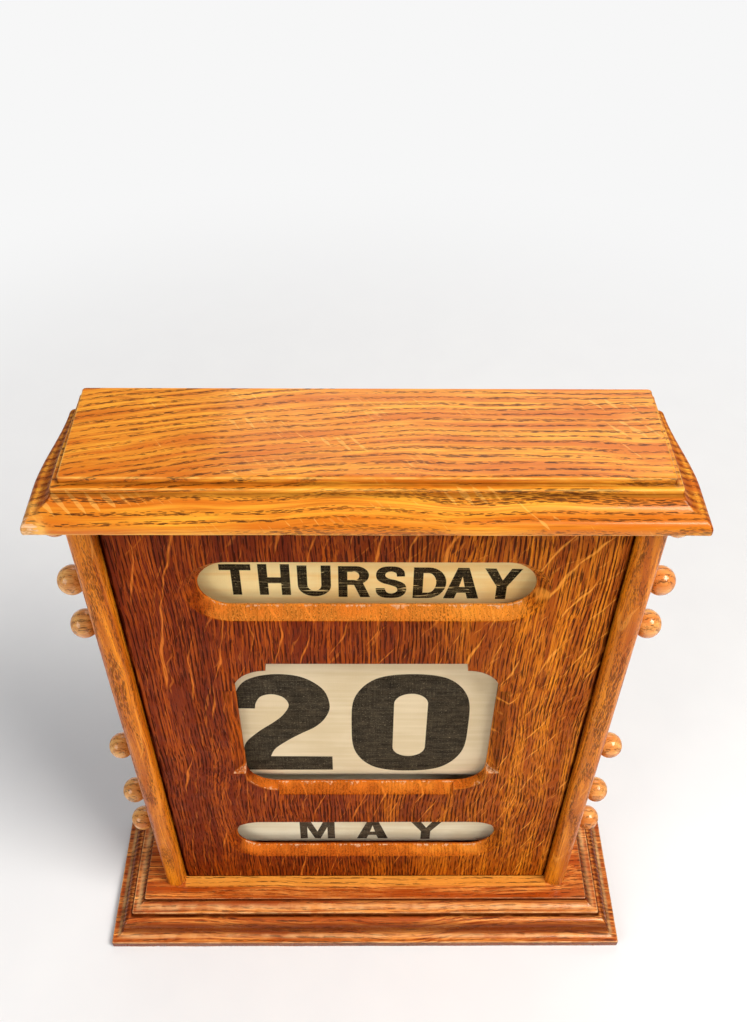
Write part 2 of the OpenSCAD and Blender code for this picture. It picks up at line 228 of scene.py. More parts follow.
class Recipe:
    """A material under construction. A number given in place of a value is set on the
    node's own socket."""

    def __init__(self, name):
        self.material = bpy.data.materials.new(name)
        self.material.use_nodes = True
        self.nodes = self.material.node_tree.nodes
        self.links = self.material.node_tree.links
        self.nodes.clear()

    def add(self, kind, sockets=(), **settings):
        """Adds a node of that kind and fills its inputs, by name or by number."""
        made = self.nodes.new(kind)
        for key, value in settings.items():
            setattr(made, key, value)
        for key, value in dict(sockets).items():
            if isinstance(value, Value):
                self.links.new(value.socket, made.inputs[key])
            else:
                made.inputs[key].default_value = value
        return made

    def node(self, kind, sockets=(), out=0, **settings):
        """Adds a node and returns one of its outputs."""
        return Value(self, self.add(kind, sockets, **settings).outputs[out])

    def math(self, operation, a, b=0.0):
        return self.node("ShaderNodeMath", {0: a, 1: b}, operation=operation)

    def larger(self, a, b):
        return self.math("MAXIMUM", a, b)

    def split(self, place):
        """The three parts of a place or of a direction."""
        return [Value(self, part) for part in self.add("ShaderNodeSeparateXYZ", {0: place}).outputs]

    def spot(self, out="Object"):
        """The place on the piece in metres, or another output of that node."""
        return self.node("ShaderNodeTexCoord", out=out)

    def ramp(self, value, low, high, to_low=0.0, to_high=1.0):
        """Smooth step: value from low to high gives to_low to to_high, and no more."""
        return self.node("ShaderNodeMapRange", {0: value, 1: low, 2: high, 3: to_low, 4: to_high},
                         interpolation_type="SMOOTHSTEP")

    def stretch(self, place, scales, shift=(0, 0, 0)):
        """The same place with each direction scaled, which lengthens a pattern."""
        return self.node("ShaderNodeMapping", {"Vector": place, "Scale": scales, "Location": shift})

    def noise(self, place, scales, shift=(0, 0, 0), detail=2.0, roughness=0.5):
        """Soft noise of the stretched place, from 0 to 1."""
        place = self.stretch(place, scales, shift)
        return self.node("ShaderNodeTexNoise", {"Vector": place, "Scale": 1.0, "Detail": detail,
                                                "Roughness": roughness})

    def blend(self, amount, a, b):
        """Colour a, and as much of colour b as amount says."""
        return self.node("ShaderNodeMix", {0: amount, 6: a, 7: b}, out=2, data_type="RGBA")

    def finish(self, bump, bump_mm, **surface):
        """Surface shader with those inputs, and a bump of bump_mm at most."""
        inputs = {key.replace("_", " "): value for key, value in surface.items()}
        inputs["Normal"] = self.node("ShaderNodeBump", {"Height": bump, "Distance": bump_mm * MM})
        self.add("ShaderNodeOutputMaterial", {0: self.node("ShaderNodeBsdfPrincipled", inputs)})
        return self.material


# %% Colours
def rgb(red, green, blue):
    """A colour as written on a paint card (0 to 255) for a shader, which wants light
    amounts: each part over 255, to the power 2.2."""
    return tuple((part / 255) ** 2.2 for part in (red, green, blue)) + (1.0,)


def darker(colour, share):
    """The same colour with that share of its light."""
    return tuple(part * share for part in colour[:3]) + (1.0,)


# %% [markdown]
# ## Oak
#
# The case is quarter-sawn oak under shellac. What the eye reads as oak is four things.
# Long dark pores, like pencil dashes, lie along the grain and crowd together once a
# year's growth. Fine fibre runs the same way. Rays, which are plates of pale tissue,
# come to the surface as light wavy flecks that cross the grain at a slant. And where a
# board is cut across, the years show as dark ribs.
#
# The pattern is solid: it is worked out in three directions inside the wood, along the
# grain, across the years, and through them. So it runs round a moulding and turns into
# end grain by itself, as in a real board.

# %% Oak: where a point lies in its board
def wood_place(recipe, axes, shift):
    """Millimetres along the grain, across the years, and through them. axes names
    which of x, y and z each of these is, and shift moves the board in its tree."""
    parts = recipe.split(recipe.spot())
    turned = recipe.node("ShaderNodeCombineXYZ", {i: parts["XYZ".index(a)] for i, a in enumerate(axes)})
    return recipe.stretch(turned, (1 / MM, 1 / MM, 1 / MM), shift)


def bent_place(recipe, place, sweep=0.0, sweep_from=0.0, low=-9e3, high=-8e3):
    """The same place, moved a little across the grain, so that no line is straight.
    Before sweep_from the grain also turns aside: by sweep x (distance to it) squared.
    It does so more and more from the depth low to the depth high."""
    wander = (recipe.noise(place, (0.011, 0.02, 0.02), detail=2) - 0.5) * 10.0
    along, _, through = recipe.split(place)
    before = recipe.math("MINIMUM", along - sweep_from, 0.0)
    turned = wander + before * before * recipe.ramp(through, low, high, 0.0, sweep)
    across = recipe.node("ShaderNodeCombineXYZ", {0: 0.0, 1: turned, 2: wander})
    return recipe.node("ShaderNodeVectorMath", {0: place, 1: across}, operation="ADD")


# %% Oak: years and pores
def years(recipe, place, spacing):
    """From 0 to 1 and back once a year's growth: a sine of the place across it."""
    uneven = recipe.noise(place, (0.004, 0.1, 0.1), detail=2) * 8.0
    turn = recipe.split(place)[1] * (2 * math.pi / spacing) + uneven
    return recipe.math("SINE", turn) * 0.5 + 0.5


def pores(recipe, place, year, length, width, small, large):
    """1 in a pore. Each cell of a cell pattern, stretched along the grain, holds one
    pore. It is small in the close part of a year's growth and large in the open one,
    and a slow noise makes all of them smaller in places."""
    cells = recipe.stretch(place, (1 / length, 1 / width, 1 / width))
    from_middle = recipe.node("ShaderNodeTexVoronoi", {"Vector": cells, "Scale": 1.0}, out="Distance")
    crowd = recipe.noise(place, (0.014, 0.07, 0.07), (6, 6, 6), detail=2)
    size = recipe.ramp(year, 0.3, 0.95, small, large) * recipe.ramp(crowd, 0.3, 0.6, 0.6, 1.15)
    return recipe.ramp(size - from_middle, -0.05, 0.06)


# %% Oak: rays
def rays(recipe, place, slant, change, spacing, width, rare):
    """1 in a ray. Lines a set distance apart lean over by slant, which changes across
    the board. They sway with one noise and are as wide as a second allows, so each
    breaks into separate flecks with pointed ends. The larger rare is, the fewer."""
    along, across, through = recipe.split(place)
    sway = recipe.noise(place, (0.032, 0.026, 0.03), (70, 20, 5), detail=2.2, roughness=0.45)
    lean = along * (across * change + slant)
    line = (across + lean + through * 0.8 + sway * 11.0) * (1 / spacing)
    off = abs(recipe.math("FRACT", line) - 0.5)
    room = recipe.noise(place, (0.035, 0.09, 0.09), (0, 40, 9), detail=2.5)
    room = (room - rare) * (width / spacing * 5.0)
    return recipe.ramp(room - off, -0.01, 0.05)


# %% Oak: the whole finish
BARE_LIGHT, BARE_DARK, GOLDEN = rgb(232, 190, 150), rgb(150, 100, 66), rgb(252, 168, 66)
WARM = (1.0, 0.66, 0.36, 1.0)


def oak(name, axes, shift, light, dark, ray_colour, right=None, spacing=3.0, pore=(7.0, 0.8, 0.14, 0.4),
        pore_dark=0.85, streaks=0.6, ray=1.0, slant=-0.3, change=0.0, ray_spacing=9.0, ray_width=0.8,
        rare=0.46, sweep=(), cut_tone=None, cut_far=None, cut_share=0.8, cut_from=0.45, fresh=None,
        front_shade=0.0, dirt_and_shade_amount=1.0, rough=(0.3, 0.46), coat=0.25, shine=0.35, gloss=0.2):
    """Shellacked oak. light and dark are the wood's two tones, and right, if given, has
    its light, dark and ray tones at the right side: partly the wood's own tone, partly
    painted light from the right. spacing is a year's growth in millimetres. pore is a
    pore's length, width, and size in the close and the open wood. streaks is how much
    the fibre shows, and ray how much the rays do. sweep is how the grain turns aside.
    cut_tone is the tone of wood cut across, cut_far, if given, its tone further along,
    and cut_from how far a face must turn to count as cut. Inside fresh, (half its width,
    front, back) in metres, the board is still golden. front_shade is how much darker
    the board is painted where it faces forward: painted shade. dirt_and_shade_amount is
    how much the corners darken, with dark polish and with painted shade. Cut wood, wood
    that faces forward, and dark corners shine less. coat, shine and gloss are the polish
    itself."""
    r = Recipe(name)
    place = wood_place(r, axes, shift)
    bent = bent_place(r, place, *sweep)
    year = years(r, bent, spacing)
    fine_place = r.stretch(bent, (1.7, 1.5, 1.5), (50, 9, 4))
    pit = r.larger(pores(r, bent, year, *pore), pores(r, fine_place, year, *pore) * 0.7)
    fibre = r.noise(bent, (0.035, 1.7, 1.7), detail=4, roughness=0.65)
    streak = r.noise(bent, (0.012, 0.2, 0.2), detail=3, roughness=0.6)
    fleck = rays(r, place, slant, change, ray_spacing, ray_width, rare) * ray
    near = r.stretch(place, (1.9, 1.9, 1.9), (310, 0, 40))
    fine = rays(r, near, slant, change / 1.9, ray_spacing, ray_width, rare) * (0.6 * ray)

    deep, pit_tone = darker(dark, 0.28), darker(dark, 0.16)
    x, y, _ = r.split(r.spot())
    # Toward the right the tones turn lighter: partly the wood's own tone, partly painted light from the right
    if right:
        sway = r.noise(bent, (0.012, 0.06, 0.05), (0, 3, 0), detail=3) * 0.1
        side = r.ramp(x + sway, 0.03, 0.15)
        light, dark, ray_colour = (r.blend(side, a, b) for a, b in zip((light, dark, ray_colour), right))
    colour = r.blend(r.ramp(streak, 0.32, 0.66), dark, light)
    colour = r.blend(r.ramp(fibre, 0.42, 0.6, 0.0, streaks), colour, dark)
    colour = r.blend(r.ramp(fibre, 0.56, 0.7, 0.0, 0.7 * streaks), colour, deep)
    colour = r.blend(year * 0.22, colour, dark)
    colour = r.blend(r.larger(fleck * 0.85, fine * 0.6), colour, ray_colour)

    # Faces that look forward are painted darker: painted shade, as the light falls from
    # above. Across the grain the wood takes another tone, and the years show as ribs
    facing = r.split(r.spot("Normal"))
    front = r.ramp(facing[1] * -1.0, 0.45, 0.95, 0.0, front_shade)
    colour = r.blend(front, colour, deep)
    cut = r.ramp(abs(facing["XYZ".index(axes[0])]), cut_from, cut_from + 0.35)
    rib = r.ramp(year, 0.3, 0.75, 0.0, 0.55) + r.ramp(fibre, 0.4, 0.65, 0.1, 0.45)
    if cut_far:
        cut_tone = r.blend(r.ramp(r.split(place)[0], -90, 80), cut_tone, cut_far)
    for share in (cut * (0.6 * cut_share), rib * (cut * cut_share)):
        colour = r.blend(share, colour, cut_tone or deep)
    if fresh:
        half, first, last = fresh
        in_depth = r.ramp(y, first - MM, first + MM) * r.ramp(y, last, last + MM, 1.0, 0.0)
        kept = r.ramp(abs(x), half - MM, half, 1.0, 0.0) * in_depth
        colour = r.blend(kept * 0.6, colour, GOLDEN)
    hidden = (1.0 - fleck * 0.75) * (1.0 - cut * 0.4)
    colour = r.blend(pit * hidden * pore_dark, colour, pit_tone)

    # Rubbed arrises are paler, some are bare, and corners hold dark polish and painted shade
    wear_and_shading = r.node("ShaderNodeAttribute", out="Fac", attribute_name="wear_and_shading")
    hand = r.noise(place, (0.13, 0.13, 0.13), detail=3)
    chip = r.noise(place, (0.3, 0.9, 0.9), (7, 2, 0), detail=3, roughness=0.6)
    # Above 0 the wear turns the colour paler: rubbed arrises, and the painted highlight on the base's upward
    # hollows
    rubbed = r.ramp(wear_and_shading, 0.1, 1.0) * r.ramp(hand, 0.35, 0.7, 0.2, 0.65)
    ragged = r.ramp(wear_and_shading * r.ramp(chip, 0.36, 0.64, 0.6, 1.15), 1.2, 1.7)
    bare = ragged * r.ramp(fibre, 0.35, 0.6, 0.95, 0.45)
    # Below 0 the wear turns the colour darker: dark polish in the corners, and painted shade
    corner_dirt_and_shade = r.ramp(wear_and_shading * -1.0, 0.05, 0.9) * r.ramp(hand, 0.25, 0.6, 0.6 * dirt_and_shade_amount, dirt_and_shade_amount)
    colour = r.blend(rubbed, colour, ray_colour)
    colour = r.blend(bare, colour, r.blend(r.ramp(chip, 0.4, 0.58), BARE_DARK, BARE_LIGHT))
    colour = r.blend(corner_dirt_and_shade, colour, darker(deep, 0.5))

    dull = pit * 0.2 + corner_dirt_and_shade * 0.4 + r.ramp(hand, 0.3, 0.75, *rough)
    height = pit * -1.0 + (fibre * 0.4 + hand * 0.7)
    clean = (1.0 - corner_dirt_and_shade) * (1.0 - r.larger(cut, front) * 0.85)
    return r.finish(height, 0.2, Base_Color=colour, Roughness=dull, Coat_Weight=clean * coat,
                    Coat_Roughness=gloss, Specular_IOR_Level=clean * shine, Specular_Tint=WARM)


# %% The boards' own oaks
lid_oak = oak(
    "lid oak", "XYZ", (40, 11, 3), rgb(242, 166, 52), rgb(204, 106, 24), rgb(255, 198, 100),
    spacing=3.0, pore=(4.4, 0.4, 0.0, 0.39), pore_dark=0.95, ray=0.38, slant=1.3, ray_spacing=7.0,
    ray_width=2.4, rare=0.6, sweep=(0.0011, 60.0, 296.0, 301.0), cut_tone=rgb(132, 54, 20),
    cut_from=0.12, dirt_and_shade_amount=0.55, coat=0.32, shine=0.35, gloss=0.14)
# The base is painted darker where it faces forward: painted shade
base_oak = oak(
    "base oak", "XYZ", (15, 60, 30), rgb(250, 160, 76), rgb(168, 70, 18), rgb(255, 200, 134),
    spacing=2.4, pore=(9.0, 0.5, 0.05, 0.34), pore_dark=0.8, streaks=1.0, ray=0.0,
    cut_tone=rgb(84, 34, 12), cut_share=0.95, cut_from=0.12, fresh=(0.091, -0.0125, -0.006),
    front_shade=0.75, rough=(0.22, 0.38), coat=0.5, shine=0.5)
# The panel turns lighter toward the right: partly its wood, partly painted light from the right
panel_oak = oak(
    "panel oak", "ZXY", (-150, 3, 0), rgb(180, 80, 12), rgb(112, 37, 0), rgb(230, 122, 42),
    right=(rgb(236, 138, 30), rgb(164, 75, 8), rgb(250, 162, 60)), spacing=1.6,
    pore=(11.0, 0.68, 0.2, 0.46), streaks=1.0, ray=0.9, slant=-0.26, change=-0.002, ray_spacing=9.5,
    ray_width=0.66, rare=0.44, cut_tone=rgb(206, 98, 34), cut_far=rgb(255, 160, 64), cut_share=0.7,
    rough=(0.45, 0.6), coat=0.0, shine=0.12)
side_oak = oak(
    "side oak", "ZYX", (20, 31, 7), rgb(240, 142, 32), rgb(176, 84, 12), rgb(248, 168, 72),
    spacing=1.9, pore=(4.5, 0.42, 0.16, 0.4), pore_dark=0.7, ray=0.4, coat=0.08, shine=0.2)
knob_oak = oak(
    "knob oak", "XYZ", (5, 9, 2), rgb(255, 196, 112), rgb(222, 134, 64), rgb(255, 212, 140),
    spacing=2.6, pore=(5.0, 0.5, 0.08, 0.36), pore_dark=0.8, ray=0.3, cut_share=0.2,
    rough=(0.2, 0.34), coat=0.6, shine=0.4, gloss=0.1)
back_oak = oak(
    "back oak", "ZXY", (90, 77, 12), rgb(166, 102, 52), rgb(112, 62, 28), rgb(190, 130, 76),
    spacing=5.5, pore=(8.0, 0.7, 0.04, 0.36), ray=0.5, rough=(0.5, 0.7), coat=0.0, shine=0.25)
print("oak finishes:", [m.name for m in bpy.data.materials if "oak" in m.name])

# %% [markdown]
# ## Wood that doesn't show
#
# The rollers are turned from a pale, close wood, and so are the strips and battens
# inside. They were never polished, so they are dry and even, with fine short pores and
# a little grey on them from handling.

# %% Plain inside wood
HAND_GREY = rgb(112, 92, 70)


def plain_wood(name, axes, shift, light, dark):
    """Close-grained wood without polish: faint years, fine fibre and hand marks."""
    r = Recipe(name)
    place = wood_place(r, axes, shift)
    bent = bent_place(r, place)
    year = years(r, bent, 2.2)
    fibre = r.noise(bent, (0.15, 5.0, 5.0), detail=3)
    pore = pores(r, bent, year, 3.0, 0.5, 0.1, 0.2)
    marks = r.noise(place, (0.05, 0.08, 0.08), detail=4, roughness=0.6)
    colour = r.blend(r.ramp(fibre, 0.3, 0.7), dark, light)
    colour = r.blend(year * 0.3, colour, dark)
    colour = r.blend(r.ramp(marks, 0.5, 0.8, 0.0, 0.45), colour, HAND_GREY)
    colour = r.blend(pore * 0.4, colour, darker(dark, 0.4))
    return r.finish(fibre - pore * 0.8, 0.08, Base_Color=colour, Roughness=r.ramp(marks, 0.3, 0.8, 0.72, 0.5))


roller_wood = plain_wood("roller wood", "XYZ", (3, 1, 8), rgb(222, 192, 146), rgb(186, 148, 100))
inner_wood = plain_wood("inner wood", "ZXY", (60, 14, 8), rgb(204, 168, 118), rgb(166, 124, 78))
print("inside woods:", roller_wood.name, inner_wood.name)

# %% [markdown]
# ## Mouldings
#
# The lid and the base are boards whose front and sides carry a moulding, cut with
# planes of different shapes. Seen edge-on it is a profile: how far the surface stands
# in from the edge at each height. A board with such a moulding is then a stack of
# rectangles, each inset by what the profile says, and that is a surface of two
# parameters: how far round the board, and how far up the profile. The mitred corners
# come out by themselves. The back of the board is left straight.
#
# A profile is written as points, arcs and hollows. A short curve replaces every
# corner, which is what sandpaper and a hundred years of dusting do.

# %% Profile helpers
def round_way(turn):
    """The way (cos, sin) of each angle, one a row."""
    return np.column_stack([np.cos(turn), np.sin(turn)])


def arc(centre, radius, start, end, steps=10):
    """Points on a circle from one angle to another, in degrees. With two radii it is
    an ellipse."""
    turn = np.radians(np.linspace(start, end, steps + 1))
    return np.array(centre) + np.array(radius) * round_way(turn)


def hollow(p, q, radius, steps=10):
    """A hollow between p and q that sinks into the wood: its centre lies outside, on
    the line that halves p to q at a right angle."""
    p, q = np.array(p, float), np.array(q, float)
    half = np.linalg.norm(q - p) / 2
    out = np.array([p[1] - q[1], q[0] - p[0]]) / (2 * half)
    centre = (p + q) / 2 + math.sqrt(radius**2 - half**2) * out
    angles = [math.degrees(math.atan2(*(v - centre)[::-1])) for v in (p, q)]
    return arc(centre, radius, *angles, steps)


def lengths_along(line):
    """Length along a line of points, from its start to each of them."""
    return np.concatenate([[0], np.cumsum(np.linalg.norm(np.diff(line, axis=0), axis=1))])


# %% Profiles with rubbed corners
CORNER_TURN = 20  # degrees: a point that turns the line by less isn't a corner
# Widths, in millimetres, of the wear at outer corners and of the dirt and painted shade at inner ones
RUBBED_W, DIRT_AND_SHADE_W = 0.45, 1.0


def round_corners(line, cut, steps):
    """Replaces each corner by a quadratic curve from a point cut before it to one cut
    after it. Returns the points, and (number of its middle point, 1 if it is an outer
    corner or else -1) of each curve."""
    rows, corners = [line[0]], []
    for before, here, after in zip(line, line[1:], line[2:]):
        a, b = here - before, after - here
        turn = math.degrees(math.atan2(a[0] * b[1] - a[1] * b[0], a @ b))
        if abs(turn) < CORNER_TURN:
            rows.append(here)
            continue
        a_long, b_long = np.linalg.norm(a), np.linalg.norm(b)
        reach = min(cut, 0.45 * a_long, 0.45 * b_long)
        first, last = here - a / a_long * reach, here + b / b_long * reach
        t = np.linspace(0, 1, steps + 1)[:, None]
        rows += list((1 - t) ** 2 * first + 2 * t * (1 - t) * here + t**2 * last)
        corners.append((len(rows) - 1 - steps // 2, -math.copysign(1, turn)))
    return np.array(rows + [line[-1]]), corners


def rubbed_profile(pieces, cut=0.45, steps=4, near=(0.5, 1.0, 1.7, 2.4)):
    """Joins the pieces of a profile and rounds its corners. Returns inset, height and
    wear_and_shading. It falls off with the length d along the profile from a corner, as e
    to the power -(d / width) squared: from 1 at an outer corner, and from -1 at an inner
    one, where the dirt and painted shade are. Points are added near each corner to carry that."""
    line = np.concatenate([np.atleast_2d(p) for p in pieces])
    line = line[np.concatenate([[True], np.linalg.norm(np.diff(line, axis=0), axis=1) > 0.02])]
    rows, corners = round_corners(line, cut, steps)
    length = lengths_along(rows)
    spots = [length] + [[length[i] + way * d] for i, _ in corners for d in near for way in (-1, 1)]
    at = np.unique(np.concatenate(spots).clip(0, length[-1]).round(3))
    wear_and_shading = 0
    for i, sign in corners:
        width = RUBBED_W if sign > 0 else DIRT_AND_SHADE_W
        wear_and_shading = wear_and_shading + sign * np.exp(-(((at - length[i]) / width) ** 2))
    return np.column_stack([np.interp(at, length, rows[:, 0]), np.interp(at, length, rows[:, 1]), wear_and_shading])


# %% A board with a moulding
ALONG_FRONT, ALONG_SIDE, ALONG_BACK, ROUND_CORNER = 190, 66, 24, 5


def board_columns():
    """One row for each column round a board: place along X (-1 to 1), place along Y
    (1 front, 0 back), and the outward way (x, y) that rounds a corner."""
    ease = lambda count: -np.cos(np.linspace(0, np.pi, count))[1:-1]
    runs = [(ease(ALONG_FRONT), 1.0, 0.0, -1.0), (1.0, (1 - ease(ALONG_SIDE)) / 2, 1.0, 0.0),
            (-ease(ALONG_BACK), 0.0, 0.0, 1.0), (-1.0, (1 + ease(ALONG_SIDE)) / 2, -1.0, 0.0)]
    corners = ((1, 1, -90), (1, 0, 0), (-1, 0, 90), (-1, 1, 180))
    turn = np.radians(np.linspace(0, 90, ROUND_CORNER))
    columns = []
    for run, (x, y, start) in zip(runs, corners):
        way = turn + math.radians(start)
        for parts in (run, (x, y, np.cos(way), np.sin(way))):
            columns.append(np.column_stack(np.broadcast_arrays(*parts)))
    return np.concatenate(columns)


def moulded_board(name, low, high, profile, corner=0.8, edge=0.0, back_share=1.0, bare_at=None):
    """The surface of a moulded board. Going round, a column stands on the front, a
    side, the back or a rounded corner; going up, a row is one point of the profile.
    Point = the rectangle inset by the profile's inset, at the profile's height. Along
    the sides the moulding out to edge keeps back_share of its width at the back. Near
    the point bare_at the wood is worn bare. The profile's wear, dirt and painted shading
    go with each point."""
    half, front, back = (high - low)[0] / 2, low[1], high[1]
    x, y, out_x, out_y = board_columns().T
    inset, rise, wear_and_shading_values = profile.T[:, :, None]
    py = y * (front + inset + corner) + (1 - y) * (back - corner) + out_y * corner
    far = np.clip((py - front) / (back - front) * 1.5 - 0.5, 0, 1)
    share = 1 - (1 - back_share) * far * far * (3 - 2 * far)
    side_inset = np.where(inset < edge, edge - (edge - inset) * share, inset)
    px = x * (half - side_inset - corner) + out_x * corner
    points = np.stack([px, py, low[2] + rise + 0 * px], -1).reshape(-1, 3)
    # The back, where y is 0, is rubbed less
    wear_and_shading_values = (np.broadcast_to(wear_and_shading_values, px.shape) * np.where(y > 0.02, 1, 0.4)).ravel()
    # Each outer arris sinks a little, more in some places, and here and there is dented
    dent = np.clip(waves(points, 7, 8) - 0.8, 0, 1) * 0.6
    sink = np.clip(wear_and_shading_values, 0, 1) * ((0.5 + 0.5 * waves(points, 26, 3)) * 0.18 + dent)
    if bare_at is not None:
        wear_and_shading_values = wear_and_shading_values + 3.0 * np.exp(-(np.linalg.norm((points - bare_at) / [5, 7, 3], axis=1) ** 2))
    middle = np.array([0, (front + back) / 2, (low[2] + high[2]) / 2])
    points = points + 0.7 * sink[:, None] * np.sign(middle - points)
    return face_outwards(put_mesh(name, points, skin_faces(*px.shape), wear_and_shading=wear_and_shading_values))


# %% [markdown]
# ### The lid
#
# From below: a plain edge, a rounded nose, a hollow, a small upright, a narrow flat
# and the raised field. The field is what light catches first, so its edge is rubbed. On
# both sides the moulding gets narrower towards the back, and at one front corner the
# polish is knocked off down to the bare wood. The underside has a few rings of points
# too, so that the wear of that corner ends close to it.

# %% Make the lid
LID_EDGE, LID_NOSE, LID_HOLLOW = 1.6, 3.4, 8.9
LID_UPRIGHT_IN, LID_UPRIGHT, FIELD_IN, FIELD = 9.0, 2.3, 11.4, 2.7
UNDER_IN = 24.0
lid_t = lid_high[2] - lid_low[2]
flat_z = lid_t - FIELD
lid_profile = rubbed_profile([
    [(UNDER_IN, 0.0), (UNDER_IN / 2, 0.0), (UNDER_IN / 5, 0.0)], (0.6, 0.0), (0.0, 0.0), (0.0, LID_EDGE),
    arc((LID_NOSE, LID_EDGE), LID_NOSE, 180, 90),
    hollow((LID_NOSE, LID_EDGE + LID_NOSE), (LID_UPRIGHT_IN, flat_z - LID_UPRIGHT), LID_HOLLOW),
    (LID_UPRIGHT_IN, flat_z), (FIELD_IN, flat_z), (FIELD_IN, lid_t), (FIELD_IN + 2, lid_t)])
BARE_CORNER = lid_low + [2, 3, 2]
lid = moulded_board("lid_board", lid_low, lid_high, lid_profile, edge=FIELD_IN, back_share=0.6,
                    bare_at=BARE_CORNER)
home(lid, "case", "oak", lid_oak, "lid")

# %% [markdown]
# ### The base
#
# From below: a square foot, a hollow, a round, a lip that stands back from it, a
# shallow hollow, and a small step to the top. Where a hollow faces up it is painted
# paler: a painted highlight from the light above.

# %% Make the base
FOOT, FOOT_FLAT, FOOT_HOLLOW, ROUND = 4.4, 1.6, 3.8, 4.1
LIP, LIP_IN, TOP_HOLLOW_W, TOP_HOLLOW_H, TOP_STEP = 2.7, 0.7, 5.8, 2.4, 0.9
base_t = base_high[2] - base_low[2]
round_x = FOOT_FLAT + FOOT_HOLLOW + ROUND
round_z = base_t - TOP_STEP - TOP_HOLLOW_H - LIP - ROUND
lip_top = (round_x + LIP_IN, round_z + ROUND + LIP)
step_foot = (lip_top[0] + TOP_HOLLOW_W, lip_top[1] + TOP_HOLLOW_H)
base_profile = rubbed_profile([
    (0.6, 0.0), (0.0, 0.0), (0.0, FOOT), (FOOT_FLAT, FOOT),
    arc((FOOT_FLAT, FOOT + FOOT_HOLLOW), FOOT_HOLLOW, -90, 0),
    arc((round_x, round_z), ROUND, 180, 90),
    (lip_top[0], round_z + ROUND), hollow(lip_top, step_foot, TOP_HOLLOW_W),
    (step_foot[0], base_t), (step_foot[0] + 2, base_t)])
# The two hollows where they face up get a painted highlight from the light above:
# inset of the middle, and width
for middle, width in ((3.2, 1.1), (13.0, 1.8)):
    base_profile[:, 2] += 0.8 * np.exp(-(((base_profile[:, 0] - middle) / width) ** 2))
base = moulded_board("base_board", base_low, base_high, base_profile)
home(base, "case", "oak", base_oak, "base")

# %% [markdown]
# ## Boards with holes
#
# The side boards, the back and the small inner pieces have the right shape in the CAD
# model, but its edges are knife-sharp. Here a copy is enough: its loose triangles are
# merged, flat faces are joined again, and a Bevel modifier rounds each sharp edge by
# part of a millimetre. The holes for the rollers stay where they are.

# %% Soften copies of CAD boards
SHARP = math.radians(30)


def softened(name, node, width_mm):
    """A copy of a CAD node, merged, with each edge over 30 degrees rounded."""
    mesh = bpy.data.meshes.new(name)
    work = bmesh.new()
    work.from_mesh(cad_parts[node].data)
    bmesh.ops.remove_doubles(work, verts=work.verts, dist=0.002 * MM)
    bmesh.ops.dissolve_limit(work, angle_limit=math.radians(0.3), verts=work.verts, edges=work.edges)
    work.to_mesh(mesh)
    work.free()
    mesh.shade_smooth()
    mesh.set_sharp_from_angle(angle=SHARP)
    piece = in_scene(name, mesh)
    bevel = piece.modifiers.new("rubbed edges", "BEVEL")
    bevel.width, bevel.segments, bevel.limit_method = width_mm * MM, 2, "ANGLE"
    bevel.angle_limit, bevel.harden_normals = SHARP, True
    return piece


for side in SIDES:
    for name, node, width_mm, slot, wood in (
            ("side_board", "side", 0.35, "oak", side_oak),
            ("strip", "panel_strip", 0.25, "inner_wood", inner_wood),
            ("batten", "lid_batten", 0.25, "inner_wood", inner_wood)):
        piece = softened(f"{side}_{name}", f"{side}_{node}", width_mm)
        home(piece, "case", slot, wood, f"{side}_{node}")
home(softened("back_board", "back_panel", 0.3), "case", "back_wood", back_oak, "back_panel")

# %% [markdown]
# ## The front panel
#
# Each window is cut through the panel, and a slope widens it to the front. So the edge
# of a window is again a profile carried along a path, this time the outline of the
# opening. The date window differs: its rounded corners are cut square, and only its
# straight sides are sloped, so there the slope is switched off along the corners. Each
# slope stops in a small triangle, as a chisel leaves it.

# %% Outlines of the windows
def round_outline(centre_z, width, height, steps=28):
    """Outline with half-round ends: points, outward ways, and slope 1 everywhere."""
    radius, straight = height / 2, (width - height) / 2
    right = np.radians(np.linspace(-90, 90, steps + 1))
    turn = np.concatenate([right, right + np.pi])
    middle = np.where(np.arange(len(turn)) <= steps, straight, -straight)
    way = round_way(turn)
    spot = way * radius + np.column_stack([middle, np.full(len(turn), centre_z)])
    return spot, way, np.ones(len(turn))


def square_outline(centre_z, width, height, radius, steps=14):
    """Outline with quarter-round corners. At each end of a corner the point is given
    twice, once with slope 1 and once with slope 0, so that the slope stops dead."""
    spots, ways, slopes = [], [], []
    for start, sx, sz in ((-90, 1, -1), (0, 1, 1), (90, -1, 1), (180, -1, -1)):
        turn = np.radians(np.linspace(start, start + 90, steps + 1))
        turn = np.concatenate([turn[:1], turn, turn[-1:]])
        way = round_way(turn)
        corner = np.array([sx * (width / 2 - radius), centre_z + sz * (height / 2 - radius)])
        spots.append(corner + way * radius)
        ways.append(way)
        slopes += [1.0] + [0.0] * (steps + 1) + [1.0]
    return np.concatenate(spots), np.concatenate(ways), np.array(slopes)


def denser(outline, longest=3.0):
    """Adds points to the straight runs of an outline, none longer than longest."""
    spot, way, slope = outline
    rows = []
    for i, ahead in enumerate(np.roll(spot, -1, axis=0)):
        count = max(1, math.ceil(np.linalg.norm(ahead - spot[i]) / longest))
        for t in np.arange(count) / count:
            rows.append([*(spot[i] * (1 - t) + ahead * t), *way[i], slope[i]])
    rows = np.array(rows)
    return rows[:, :2], rows[:, 2:4], rows[:, 4]


# %% Sweep the edge of a window
SLOPE_W, SLOPE_D, PANEL_T = 4.6, 4.2, panel_high[1] - panel_low[1]
ARRIS, EDGE_RINGS = 0.4, 10


